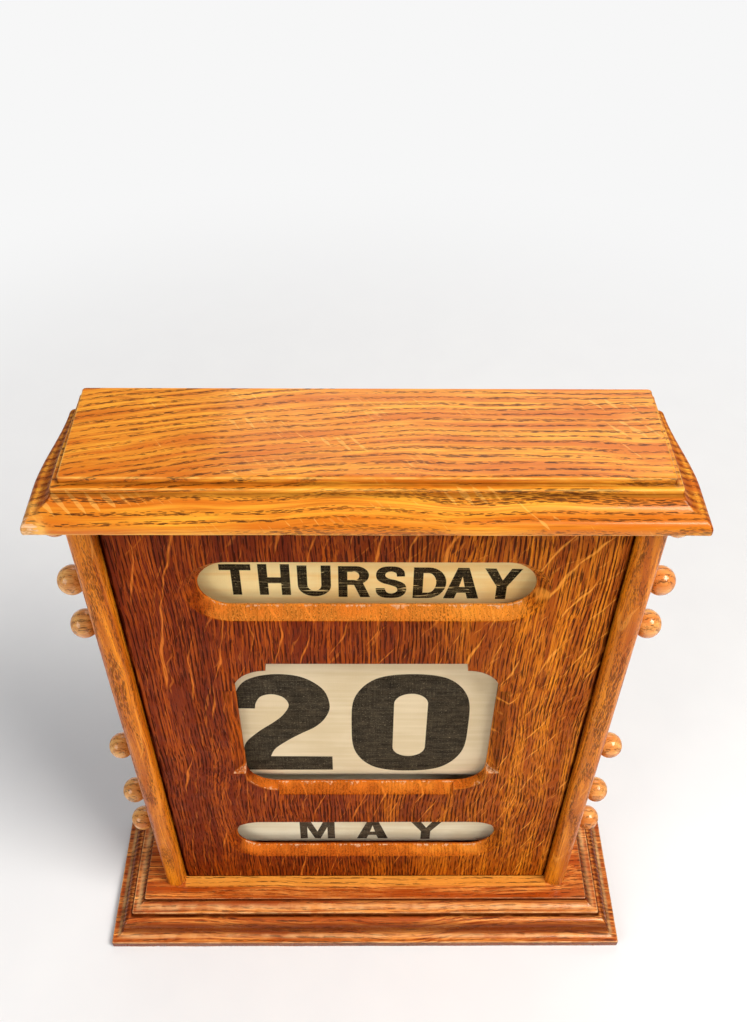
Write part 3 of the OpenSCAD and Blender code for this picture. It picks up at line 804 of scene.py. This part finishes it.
def window_edge(outline):
    """Rings of points from the panel's back to its face: point = outline + outward way
    x offset, at a depth. Where s is 1 the wood slopes from SLOPE_D deep out to the
    face, and where it is 0 it is cut square. Returns the points and their wear, with dirt
    and painted shade below 0, both ring by ring."""
    spot, way, s = outline
    a, q, none = ARRIS, 1 - s, 0 * s
    out, up = np.array([SLOPE_W, -SLOPE_D]) / math.hypot(SLOPE_W, SLOPE_D)
    foot = SLOPE_D * s
    # Bare wood shows along the lower edge, and is chipped at the corners cut square
    rough = np.clip(waves(np.insert(spot, 1, 0, axis=1), 6, 5) + 0.7, 0.2, 1)
    bare = np.clip(-way[:, 1] * 3 - 1.5, 0, 1) * rough
    stop = (s > np.minimum(np.roll(s, 1), np.roll(s, -1))) & (np.abs(way[:, 1]) < 0.5)
    chipped = (spot[:, 1] < spot[:, 1].mean()) * ((s < 0.5) * 1.9 * rough + stop * 2.2)
    # Of each ring: offset, depth, wear, share of the bare wood, share of the chips
    levels = (
        (none + 0.5, none + PANEL_T, 0.0, 0.0, 0),
        (none + 0.15, none + PANEL_T, 0.3, 0.0, 0),
        (none, none + PANEL_T - 0.15, 0.0, 0.0, 0),
        (none, foot + a * 0.6, -0.2, 0.3, 1),
        (s * a * 0.25 * out, foot + s * a * 0.25 * up + q * a * 0.6, 0.9, 1.2, 1),
        (s * 2 * a * out, foot + s * 2 * a * up + q * a * 0.55, 0.3, 1.1, 1),
        (s * (SLOPE_W - a * out), s * -a * up + q * a * 0.5, 0.3, 0.0, 1),
        (s * (SLOPE_W - 0.1) + q * a * 0.15, s * 0.08 + q * a * 0.15, 0.4, 0.0, 1),
        (s * (SLOPE_W + a * 0.6) + q * a * 0.5, none, 0.2, 0.0, 1),
        (s * SLOPE_W + 1.3, none, 0.0, 0.0, 0))
    rings, wear_and_shading = [], []
    for offset, depth, wear_and_shading_values, bare_share, chip_share in levels:
        ring = spot + way * offset[:, None]
        rings.append(np.column_stack([ring[:, 0], panel_low[1] + depth, ring[:, 1]]))
        wear_and_shading.append(wear_and_shading_values + bare * bare_share + chipped * chip_share)
    points, wear_and_shading = np.concatenate(rings), np.concatenate(wear_and_shading)
    points[:, 1] += (0.5 + 0.5 * waves(points, 9, 21)) * 0.12 * np.clip(wear_and_shading, 0, 1)
    return points, wear_and_shading


# %% Fill the flat faces between the windows
def inside(spots, loop):
    """Whether each spot lies in a closed loop: a line drawn to its right crosses the
    loop an odd number of times."""
    x, y = spots[:, 0, None], spots[:, 1, None]
    a, b = loop, np.roll(loop, -1, axis=0)
    spans = (a[:, 1] > y) != (b[:, 1] > y)
    rise = np.where(a[:, 1] == b[:, 1], 1.0, b[:, 1] - a[:, 1])
    at = a[:, 0] + (y - a[:, 1]) / rise * (b[:, 0] - a[:, 0])
    return (spans & (x < at)).sum(1) % 2 == 1


def triangulate(spots, edges, nearest):
    """Triangles that keep all the edges: their corners' places, their corners' numbers,
    and for each place the numbers of the spots that it comes from."""
    out = delaunay_2d_cdt([Vector(s) for s in spots], edges, [], 0, nearest)
    return np.array(out[0]), np.array(out[2]), out[3]


def loop_edges(count, first=0):
    """Edges that join count points, numbered from first, into a closed loop."""
    return [(first + i, first + (i + 1) % count) for i in range(count)]


def flat_fill(loops):
    """Triangles of the flat face inside the first loop and outside the others. Each
    loop is an (n, 2) array, and the triangles index all loops one after another."""
    starts = np.cumsum([0] + [len(loop) for loop in loops])
    edges = [edge for loop, first in zip(loops, starts) for edge in loop_edges(len(loop), first)]
    places, faces, sources = triangulate(np.concatenate(loops), edges, 1e-7)
    middle = places[faces].mean(1)
    kept = inside(middle, loops[0])
    for loop in loops[1:]:
        kept &= ~inside(middle, loop)
    return np.array([ids[0] for ids in sources])[faces[kept]]


# %% Make the front panel
# Of a window: height of its middle, width and height, and the radius of its corners
DAY_WINDOW, MONTH_WINDOW = (240.3, 121.4, 23.2), (57.6, 123.5, 25.0)
DATE_WINDOW = (149.1, 105.4, 89.0, 13.5)
outlines = [round_outline(*DAY_WINDOW), square_outline(*DATE_WINDOW), round_outline(*MONTH_WINDOW)]
left, bottom, right, top = panel_low[0], panel_low[2], panel_high[0], panel_high[2]
rim = np.array([(left, bottom), (right, bottom), (right, top), (left, top)])
inwards = np.array([(1, 1), (-1, 1), (-1, -1), (1, -1)])
points, wear_and_shading_values = [], []
# Rings round the rim, from face to back: inset, depth and wear. The wear of -1 near the
# edge darkens the rim: dirt, and painted shade where the side boards, lid and base meet it
rings = ((1.6, 0, 0), (0.7, 0, -0.8), (0.3, 0.1, -1), (0, 0.4, -1), (0, PANEL_T, 0))
for inset, depth, wear_and_shading in rings:
    ring = rim + inwards * inset
    points.append(np.insert(ring, 1, panel_low[1] + depth, axis=1))
    wear_and_shading_values.append(np.full(4, float(wear_and_shading)))
faces = [grid_faces(len(rings), 4, closed=True)]
start = 4 * len(rings)
face_ids, back_ids = [np.arange(4)], [np.arange(start - 4, start)]
for outline in outlines:
    ring_points, ring_wear_and_shading = window_edge(denser(outline))
    points.append(ring_points)
    wear_and_shading_values.append(ring_wear_and_shading)
    count = len(ring_points) // EDGE_RINGS
    faces.append(grid_faces(EDGE_RINGS, count, closed=True, first=start))
    back_ids.append(start + np.arange(count))
    start += len(ring_points)
    face_ids.append(start - count + np.arange(count))
points, wear_and_shading_values = np.concatenate(points), np.concatenate(wear_and_shading_values)
for ids in (face_ids, back_ids):
    fill = flat_fill([points[i][:, [0, 2]] for i in ids])
    faces.append(np.concatenate(ids)[fill])
panel = face_outwards(put_mesh("window_panel", points, faces, wear_and_shading=wear_and_shading_values))
home(panel, "case", "oak", panel_oak, "front_panel")

# %% [markdown]
# ## Knobs
#
# A knob is turned on a lathe: a ball on a short neck, with a small hollow where the
# centre held it. So it is a profile spun round the roller's axis, a surface of two
# parameters. Turned by hand, no two are alike, so each gets a slightly different
# profile from a seeded draw, and always a little smaller than the CAD knob.

# %% Turn the knobs
def turned(name, profile, centre, sign, around=72):
    """A profile of distance along the axis and radius, spun round the X axis through
    centre: x = distance x sign, and (y, z) = radius x (cos, sin) of the angle."""
    turn = np.linspace(0, 2 * np.pi, around, endpoint=False)
    along, radius = profile.T[:, :, None]
    x = centre[0] + sign * along + 0 * turn
    points = np.stack([x, centre[1] + radius * np.cos(turn), centre[2] + radius * np.sin(turn)], -1)
    faces = skin_faces(len(profile), around)
    return face_outwards(put_mesh(name, points.reshape(-1, 3), faces, smooth=40))


def knob_profile(draw):
    """Neck and ball: the neck flares into the ball, and the ball ends in a dimple."""
    ball, out, neck, gap = 6.0 * draw.uniform(0.975, 0.998), 11.5, 3.5, 0.5
    flat = draw.uniform(0.95, 0.99)
    start = math.degrees(math.asin(neck * 0.92 / ball))
    turn = np.radians(np.linspace(180 - start, 6, 40))
    body = np.column_stack([out + ball * flat * np.cos(turn), ball * np.sin(turn)])
    tip = out + ball * flat
    foot = [(gap, neck * 0.8), (gap, neck * 0.94), (gap + 0.25, neck), (gap + 2.2, neck * 0.97)]
    joint = [(body[0, 0] - 0.5, neck * 0.9)]
    dimple = [(tip - 0.14, 0.3), (tip - 0.16, 0.1)]
    return np.concatenate([foot, joint, body, dimple])


draw = np.random.default_rng(20)
side_x = box_mm("right_side")[1][0]
for (band, place), (axis_y, axis_z) in roller_axis.items():
    for side, sign in SIDES.items():
        name = f"{band}_{place}_{side}"
        knob = turned(f"{name}_ball", knob_profile(draw), (sign * side_x, axis_y, axis_z), sign)
        home(knob, f"{band}_{place}", "turned_oak", knob_oak, f"{name}_knob")

# %% [markdown]
# ## Linen
#
# The bands are thin linen, sized and yellowed, and printed in black from wood type. Up
# close one sees threads both ways, some thicker than others. From further off one sees
# pale and dark streaks across the band and a few sharp creases, where it has been
# rolled. The ink lies on top of the threads, so it is greyer where they stand up and
# has flaked off along the creases.
#
# The pattern follows the cloth, so it reads a UV map that holds metres across and
# metres along the band, and not the place in space.

# %% Linen and ink
WARP_GAP, WEFT_GAP = 0.42, 0.46


def linen(name, light, dark, ink=None, cracks=0.0):
    """Woven cloth. Each thread stands up as half a sine wave, and some are thicker than
    others. With ink, the same cloth under a layer of print, and cracks is how much of
    the print has gone along the creases."""
    r = Recipe(name)
    place = r.stretch(r.node("ShaderNodeUVMap", uv_map="cloth"), (1 / MM, 1 / MM, 1.0))
    across, along, _ = r.split(place)
    thick = r.noise(place, (0.05, 2.4, 1.0), detail=1)
    thin = r.noise(place, (2.4, 0.05, 1.0), (9, 5, 0), detail=1)
    warp = abs(r.math("SINE", across * (math.pi / WARP_GAP)))
    weft = abs(r.math("SINE", along * (math.pi / WEFT_GAP)))
    weave = warp * r.ramp(thin, 0.2, 0.8, 0.3, 0.7) + weft * r.ramp(thick, 0.2, 0.8, 0.3, 0.9)
    streak = r.noise(place, (0.016, 0.3, 1.0), (3, 8, 0), detail=3, roughness=0.55)
    cloud = r.noise(place, (0.03, 0.03, 1.0), detail=3)
    crease = r.noise(place, (0.008, 0.2, 1.0), (5, 2, 0), detail=2.5, roughness=0.6)
    fold = r.ramp(abs(crease - 0.5), 0.0, 0.004, 1.0, 0.0)
    colour = r.blend(r.ramp(streak * 0.45 + cloud * 0.6, 0.4, 0.66), dark, light)
    colour = r.blend(r.ramp(weave, 0.0, 1.0, 0.1, 0.0), colour, darker(dark, 0.6))
    dull, sheen, shine = 0.75, 0.1, 0.2
    if ink:
        flaked = r.noise(place, (1.1, 1.6, 1.0), detail=3, roughness=0.7)
        thread = r.ramp(weave, 0.6, 1.2) * 0.09
        gone = r.larger(r.larger(r.ramp(flaked, 0.56, 0.78, 0.0, 0.5), thread), fold * cracks)
        mottle = r.noise(place, (0.16, 0.3, 1.0), detail=5, roughness=0.65)
        grey = r.blend(r.ramp(mottle, 0.34, 0.68), darker(ink, 0.75), darker(ink, 3.4))
        colour = r.blend(gone, grey, colour)
        dull, sheen, shine = r.ramp(weave, 0.0, 1.2, 0.6, 0.72), 0.0, 0.05
    return r.finish(weave - fold * 0.8, 0.05, Base_Color=colour, Roughness=dull, Sheen_Weight=sheen,
                    Sheen_Roughness=0.4, Specular_IOR_Level=shine)


cloths = {}
for band, light, dark, ink, cracks in (
        ("day", rgb(255, 224, 156), rgb(248, 200, 124), rgb(18, 14, 10), 0.9),
        ("date", rgb(230, 208, 170), rgb(216, 192, 150), rgb(36, 31, 24), 0.0),
        ("month", rgb(248, 234, 200), rgb(234, 214, 174), rgb(54, 44, 34), 0.2)):
    cloths[band] = (linen(f"{band} linen", light, dark),
                    linen(f"{band} print", light, dark, ink, cracks))
print("cloths:", sorted(cloths))

# %% [markdown]
# ## Letters
#
# The type is a heavy block letter, as poster printers used. Each letter is drawn here
# in a box one wide and one high: an outline that is inked, and in some letters a hole.
# Only the letters that show are needed. Curves are part of an ellipse, or a smooth line
# through a few points.

# %% Helpers for letters
def bow(cx, cz, rx, rz, start, end):
    """Part of an ellipse about (cx, cz), from one angle to another, in degrees."""
    return arc((cx, cz), (rx, rz), start, end, steps=16)


def through(points, steps=8):
    """A smooth line through points: between two of them it is a cubic whose slope at
    each is half the way from the point before to the one after. A line that ends where
    it starts is smooth there too."""
    p = np.asarray(points, float)
    closed = np.allclose(p[0], p[-1])
    ends = (p[-2:-1], p[1:2]) if closed else (2 * p[:1] - p[1:2], 2 * p[-1:] - p[-2:-1])
    p = np.concatenate([ends[0], p, ends[1]])
    t = np.linspace(0, 1, steps, endpoint=False)[:, None]
    parts = []
    for a, b, c, d in zip(p, p[1:], p[2:], p[3:]):
        square, cube = 2 * a - 5 * b + 4 * c - d, 3 * b - a - 3 * c + d
        parts.append(0.5 * (2 * b + (c - a) * t + square * t**2 + cube * t**3))
    return np.concatenate(parts + [p[-2:-1]])


def joined(*parts):
    """One outline from points and lines of points."""
    return np.concatenate([np.atleast_2d(np.array(p, float)) for p in parts])


# %% Draw the letters
# Of each letter the first outline is inked, and a second one is its hole
STEM = 0.29
FAR = 1 - STEM
LETTERS = {
    "T": [joined((0, 1), (0, 0.81), (0.5 - STEM / 2, 0.81), (0.5 - STEM / 2, 0), (0.5 + STEM / 2, 0),
                 (0.5 + STEM / 2, 0.81), (1, 0.81), (1, 1))],
    "H": [joined((0, 0), (STEM, 0), (STEM, 0.39), (FAR, 0.39), (FAR, 0), (1, 0), (1, 1), (FAR, 1),
                 (FAR, 0.58), (STEM, 0.58), (STEM, 1), (0, 1))],
    "U": [joined((0, 1), (0, 0.36), bow(0.5, 0.36, 0.5, 0.36, 180, 360), (1, 1), (FAR, 1),
                 bow(0.5, 0.38, 0.5 - STEM, 0.2, 360, 180), (STEM, 1))],
    "R": [joined((0, 0), (STEM, 0), (STEM, 0.4), (0.5, 0.4), (0.7, 0), (1.02, 0), (0.79, 0.46),
                 bow(0.56, 0.71, 0.42, 0.29, -55, 90), (0, 1)),
          joined((STEM, 0.56), bow(0.53, 0.69, 0.14, 0.13, -90, 90), (STEM, 0.82))],
    "D": [joined((0, 0), bow(0.45, 0.5, 0.53, 0.5, -90, 90), (0, 1)),
          joined((STEM, 0.18), bow(0.44, 0.5, 0.24, 0.32, -90, 90), (STEM, 0.82))],
    "A": [joined((0, 0), (0.35, 1), (0.66, 1), (1, 0), (0.68, 0), (0.62, 0.19), (0.37, 0.19), (0.31, 0)),
          joined((0.42, 0.38), (0.58, 0.38), (0.5, 0.72))],
    "Y": [joined((0.36, 0), (0.64, 0), (0.64, 0.42), (1, 1), (0.71, 1), (0.505, 0.62), (0.3, 1), (0, 1),
                 (0.36, 0.42))],
    "M": [joined((0, 0), (0.21, 0), (0.21, 0.62), (0.42, 0), (0.58, 0), (0.79, 0.62), (0.79, 0), (1, 0),
                 (1, 1), (0.71, 1), (0.5, 0.38), (0.29, 1), (0, 1))],
    "S": [joined(through([(0, 0.31), (0.03, 0.15), (0.2, 0.02), (0.5, -0.015), (0.82, 0.03), (1.0, 0.2),
                          (0.97, 0.43), (0.72, 0.56), (0.42, 0.63), (0.31, 0.72), (0.36, 0.82),
                          (0.52, 0.85), (0.66, 0.8), (0.69, 0.69)]),
                 through([(0.96, 0.7), (0.92, 0.87), (0.76, 0.985), (0.5, 1.015), (0.2, 0.98),
                          (0.03, 0.84), (0.03, 0.63), (0.2, 0.49), (0.5, 0.41), (0.69, 0.33),
                          (0.7, 0.21), (0.55, 0.14), (0.38, 0.17), (0.29, 0.31)]))],
    "0": [through([(0.5, 1), (0.8, 0.955), (0.97, 0.78), (1, 0.5), (0.97, 0.22), (0.8, 0.045), (0.5, 0),
                   (0.2, 0.045), (0.03, 0.22), (0, 0.5), (0.03, 0.78), (0.2, 0.955), (0.5, 1)])[:-1],
          joined(bow(0.5, 0.715, 0.142, 0.1, 0, 180), bow(0.5, 0.267, 0.142, 0.1, 180, 360))],
    "2": [joined(through([(0.0, 0.668), (0.0, 0.82), (0.13, 0.945), (0.4, 1.0), (0.7, 0.975),
                          (0.92, 0.86), (0.99, 0.7), (0.945, 0.58), (0.83, 0.481), (0.66, 0.405),
                          (0.5, 0.327), (0.36, 0.24), (0.3, 0.156)]),
                 (1.0, 0.153), (1.0, 0.0), (0.03, 0.0),
                 through([(0.0, 0.08), (0.0, 0.19), (0.04, 0.31), (0.2, 0.43), (0.38, 0.53), (0.49, 0.61),
                          (0.55, 0.7), (0.5, 0.775), (0.38, 0.807), (0.26, 0.785), (0.2, 0.72),
                          (0.185, 0.665)]))],
}
print("letters:", " ".join(LETTERS))


# %% Set the words
def set_letter(letter, x0, x1, low, height, lean=0.0):
    """The outlines of a letter on the cloth, x0 to x1 wide and height high above low,
    in millimetres. lean lowers its right side, for type that was set a little askew."""
    scale = np.array([x1 - x0, height])
    return [s * scale + [x0, low] - s[:, :1] * [0, lean] for s in LETTERS[letter]]


DAY_TYPE, MONTH_TYPE = 16.9, 18.8
words = {
    "day": [set_letter(letter, x0, x1, low, DAY_TYPE, 0.12) for letter, x0, x1, low in (
        ("T", -53.3, -41.9, 228.8), ("H", -39.4, -28.0, 228.8), ("U", -25.3, -13.2, 228.0),
        ("R", -10.5, 0.9, 227.6), ("S", 3.1, 14.2, 227.3), ("D", 16.8, 29.1, 227.0),
        ("A", 28.1, 41.2, 226.8), ("Y", 42.4, 56.1, 226.5))],
    "date": [set_letter("2", -53.6, -14.9, 109.5, 70.9), set_letter("0", -6.3, 43.3, 108.7, 71.8)],
    "month": [set_letter(letter, x0, x1, low, MONTH_TYPE) for letter, x0, x1, low in (
        ("M", -32.2, -15.2, 42.0), ("A", -4.4, 11.0, 41.9), ("Y", 21.2, 37.6, 41.2))]}
print({band: len(word) for band, word in words.items()}, "letters")

# %% [markdown]
# ## The bands
#
# Between its two rollers a band is held flat, and at both ends it bends back round the
# windings. Seen from the side that is a straight line that touches two circles, with
# part of each circle. Two numbers place a point on the cloth: how far across it lies,
# and how far along. The letters' outlines are put into the same flat drawing, a
# triangulation is made that keeps all of their edges, and only then is the drawing
# bent into place. So the print lies in the cloth, not above it.

# %% The path of a band
LINEN_T, CLEAR = 0.13, 0.3
WRAP = math.radians(118)


def band_path(band, along):
    """Place (y, z) of the cloth at each distance along it, with 0 where it leaves the
    upper winding. On the way from there it is a straight line that touches both
    circles; before and after it is part of a circle."""
    top, bottom = roller_axis[band, "upper"], roller_axis[band, "lower"]
    r_top, r_bottom = (wound_radius[band, place] + CLEAR for place in PLACES)
    rise = (r_bottom - r_top) / (top[1] - bottom[1])
    normal = np.array([-math.sqrt(1 - rise**2), rise])
    start, end = top + r_top * normal, bottom + r_bottom * normal
    length = np.linalg.norm(end - start)
    tilt = math.atan2(normal[1], normal[0])
    s = np.asarray(along, float)[:, None]
    over = top + r_top * round_way(tilt + s / r_top)
    under = bottom + r_bottom * round_way(tilt + (s - length) / r_bottom)
    line = start + (end - start) * s / length
    return np.where(s < 0, over, np.where(s > length, under, line)), length, r_top, r_bottom


# %% Make the bands
GRID_ACROSS, GRID_BEND, GRID_STEP = 53, 16, 3


def flat_cloth(width, runs, loops):
    """The cloth as a flat drawing: a grid across width and along runs, and the outlines
    of the print, in triangles that keep them. Returns corners' places and numbers."""
    across = np.linspace(*width, GRID_ACROSS)
    along = np.unique(np.concatenate([np.linspace(*run) for run in runs]).round(4))
    grid = np.stack(np.meshgrid(across, along), -1).reshape(-1, 2)
    edges, start = [], len(grid)
    for loop in loops:
        edges += loop_edges(len(loop), start)
        start += len(loop)
    for first in (0, len(grid) - len(across)):
        edges += [(first + i, first + i + 1) for i in range(len(across) - 1)]
    flat, faces, _ = triangulate(np.concatenate([grid] + loops), edges, 1e-5)
    return flat, faces


def band_piece(band):
    """The cloth and its print as one mesh. Returns the piece, the cloth's flat length
    and width, and which of its faces are inked."""
    low, high = box_mm(f"{band}_band")
    _, length, r_top, r_bottom = band_path(band, [0.0])
    first, last = -WRAP * r_top, length + WRAP * r_bottom
    runs = ((first, 0, GRID_BEND), (0, length, math.ceil(length / GRID_STEP)), (length, last, GRID_BEND))
    top_z = roller_axis[band, "upper"][1]
    print_loops = [[np.column_stack([s[:, 0], top_z - s[:, 1]]) for s in letter] for letter in words[band]]
    flat, faces = flat_cloth((low[0], high[0]), runs, sum(print_loops, []))
    middle = flat[faces].mean(1)
    inked = np.zeros(len(faces), bool)
    for outer, *cut_out in print_loops:
        letter = inside(middle, outer)
        for loop in cut_out:
            letter &= ~inside(middle, loop)
        inked |= letter
    place, *_ = band_path(band, flat[:, 1])
    points = np.column_stack([flat[:, 0], place])
    # The cloth is not quite flat: it swells and dips by a tenth of a millimetre or so
    slack = np.sin(np.clip(flat[:, 1] / length, 0, 1) * np.pi)
    swell = waves(np.column_stack([flat * [0.5, 1], 0 * flat[:, 1]]), 24, len(band))
    points[:, 1] += slack * 0.14 * swell
    piece = put_mesh(f"{band}_cloth", points, [faces], smooth=60, uv=flat * MM)
    wall = piece.modifiers.new("thickness", "SOLIDIFY")
    wall.thickness, wall.offset = LINEN_T * MM, 0.0
    return piece, last - first, high[0] - low[0], inked


for band in BANDS:
    piece, length, width, inked = band_piece(band)
    home(piece, "case", "linen", cloths[band][0], f"{band}_band")
    piece.data.materials.append(cloths[band][1])
    piece.data.polygons.foreach_set("material_index", inked.astype(np.int32))
    width * MM
    length * MM
    print(f"  {band}: {width:.0f} x {length:.1f} mm of cloth, {inked.sum()} printed faces")

# %% [markdown]
# ## The windings
#
# The rest of each band is wound on its two rollers: turn on turn, each one thickness of
# linen further out. That is a spiral, and the whole length of cloth that the calendar
# needs is in it. The turns are drawn a little thinner than their spacing, so the spiral
# shows at the ends, as on a real roll.

# %% Wind the linen
TURNS_IN = 0.3


def wound_cloth(name, band, place, thickness=0.11, steps=56):
    """A spiral: radius = drum radius + linen's thickness x turns. Its section, out
    along the outer side and back along the inner one, is carried across the roller.
    Returns the piece, the length of cloth and the number of turns."""
    low, high = box_mm(f"{band}_{place}_winding")
    drum_low, drum_high = box_mm(f"{band}_{place}_roller")
    drum = (drum_high - drum_low)[2] / 2
    turns = (wound_radius[band, place] - drum) / LINEN_T - 1
    angle = np.linspace(0, turns * 2 * np.pi, math.ceil(turns * steps))
    radius = drum + LINEN_T * angle / (2 * np.pi)
    way = round_way(-angle + math.pi + angle[-1])
    inner, outer = (roller_axis[band, place] + r[:, None] * way for r in (radius, radius + thickness))
    section = np.concatenate([outer, inner[::-1]])
    count = len(section)
    ends = (low[0] + TURNS_IN, high[0] - TURNS_IN)
    points = np.concatenate([np.insert(section, 0, x, axis=1) for x in ends])
    i = np.arange(count // 2 - 1)
    cap = np.column_stack([i, i + 1, count - 2 - i, count - 1 - i])
    faces = [grid_faces(2, count, closed=True), cap, cap[:, ::-1] + count]
    around = radius.cumsum() * (angle[1] - angle[0])
    uv = np.column_stack([points[:, 0], np.tile([*around, *around[::-1]], 2)]) * MM
    piece = face_outwards(put_mesh(name, points, faces, smooth=40, uv=uv))
    return piece, float(lengths_along(inner)[-1]), turns


for band in BANDS:
    for place in PLACES:
        piece, length, turns = wound_cloth(f"{band}_{place}_turns", band, place)
        home(piece, f"{band}_{place}", "linen", cloths[band][0], f"{band}_{place}_winding")
        width = piece.dimensions.x
        length * MM
        print(f"  {turns:.1f} turns, {length:.0f} mm of cloth")

# %% [markdown]
# ## Pieces kept from the CAD model
#
# The rollers and screws are exact as they are and need only their finish. The screws
# are brass, brushed by the driver and brown where polish has crept over them.

# %% Brass
def brass(name):
    """Old brass: a warm metal, scratched one way, with brown tarnish in patches."""
    r = Recipe(name)
    place = r.stretch(r.spot(), (1 / MM, 1 / MM, 1 / MM))
    scratch = r.noise(place, (0.8, 9.0, 9.0), detail=3)
    patch = r.noise(place, (0.35, 0.35, 0.35), detail=4, roughness=0.6)
    colour = r.blend(r.ramp(patch, 0.42, 0.66), rgb(206, 164, 92), rgb(104, 74, 42))
    rough = r.ramp(patch, 0.4, 0.7, 0.22, 0.5) + scratch * 0.16
    return r.finish(scratch, 0.02, Base_Color=colour, Roughness=rough, Metallic=0.9)


screw_brass = brass("screw brass")
kept = {f"{band}_{place}_roller": roller_wood for band in BANDS for place in PLACES}
kept |= {f"{board}_screws": screw_brass for board in ("base", "lid", "back")}
for name, material in kept.items():
    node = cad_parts[name]
    node.data.materials.clear()
    node.data.materials.append(material)
print(len(kept), "CAD nodes kept, with new finishes")

# %% [markdown]
# ## Floor, light and camera
#
# A plain pale floor and soft lamps: a broad one high on the right, as in a room with a
# window, a weak one on the left to open the shadows, and one behind that draws a
# shine along the lid and the mouldings. The camera looks down at 45 degrees from just
# in front, as a person who bends over a table does.

# %% Floor
# Near the calendar the floor takes its shadow. Further off it fades to plain white,
# for the camera and in reflections only.
FLOOR_HALF = 4.0
r = Recipe("pale floor")
spot = r.spot()
speck = r.noise(spot, (30, 30, 30), detail=2)
grey = r.blend(speck, rgb(232, 232, 233), rgb(238, 238, 238))
paint = r.node("ShaderNodeBsdfPrincipled", {"Base Color": grey, "Roughness": 0.9, "Specular IOR Level": 0.1})
glow = r.node("ShaderNodeEmission", {"Color": (0.93, 0.93, 0.93, 1.0), "Strength": 1.0})
seen = r.larger(*(r.node("ShaderNodeLightPath", out=out) for out in ("Is Camera Ray", "Is Glossy Ray")))
distance = r.node("ShaderNodeVectorMath", {0: spot}, out="Value", operation="LENGTH")
mixed = r.node("ShaderNodeMixShader", {0: seen * r.ramp(distance, 0.3, 0.75), 1: paint, 2: glow})
r.add("ShaderNodeOutputMaterial", {0: mixed})
floor_points = np.array([[x, y, 0.0] for y in (-1, 1) for x in (-1, 1)]) * FLOOR_HALF / MM
floor = put_mesh("floor", floor_points, [np.array([[0, 1, 3, 2]])])
floor.data.materials.append(r.material)


# %% Lamps and world
CALENDAR_MIDDLE = Vector((0.0, 0.0, 0.16))


def lamp(name, place, width, height, power, colour):
    """A soft rectangular lamp at place, turned to face the calendar's middle."""
    light = bpy.data.lights.new(name, "AREA")
    light.shape, light.size, light.size_y = "RECTANGLE", width, height
    light.energy, light.color = power, colour
    made = in_scene(name, light)
    made.location = place
    made.rotation_euler = (CALENDAR_MIDDLE - Vector(place)).to_track_quat("-Z", "Y").to_euler()
    return made


WARM_LIGHT, COOL_LIGHT = (1.0, 0.97, 0.93), (0.94, 0.97, 1.0)
lamp("high right", (0.8, -0.5, 1.4), 0.7, 0.7, 27, WARM_LIGHT)
lamp("left fill", (-1.3, -1.1, 0.9), 1.0, 1.0, 12, COOL_LIGHT)
lamp("behind", (0.2, 1.2, 1.2), 0.9, 0.5, 3.5, WARM_LIGHT)
scene = bpy.context.scene
world = bpy.data.worlds.new("soft room")
world.use_nodes = True
sky = world.node_tree.nodes["Background"]
sky.inputs[0].default_value = (0.97, 0.98, 1.0, 1.0)
sky.inputs[1].default_value = 0.25
scene.world = world
scene.view_settings.view_transform = "Standard"

# %% Camera
PITCH, YAW, ROLL = math.radians(45.293), math.radians(-0.780), math.radians(0.648)
EYE = Vector((-1.37, -246.85, 523.71)) * MM
LENS = 36.71
level_x = Vector((math.cos(YAW), math.sin(YAW), 0))
level_y = Vector((-math.sin(YAW), math.cos(YAW), 0))
ahead = level_y * math.cos(PITCH) - Vector((0, 0, math.sin(PITCH)))
over = level_y * math.sin(PITCH) + Vector((0, 0, math.cos(PITCH)))
right_way = level_x * math.cos(ROLL) + over * math.sin(ROLL)
up_way = over * math.cos(ROLL) - level_x * math.sin(ROLL)
camera = in_scene("camera", bpy.data.cameras.new("camera"))
camera.data.lens, camera.data.sensor_width, camera.data.clip_start = LENS, 36.0, 0.01
camera.matrix_world = Matrix.Translation(EYE) @ Matrix((right_way, up_way, -ahead)).transposed().to_4x4()
scene.camera = camera
print("camera at", [round(v, 3) for v in EYE])
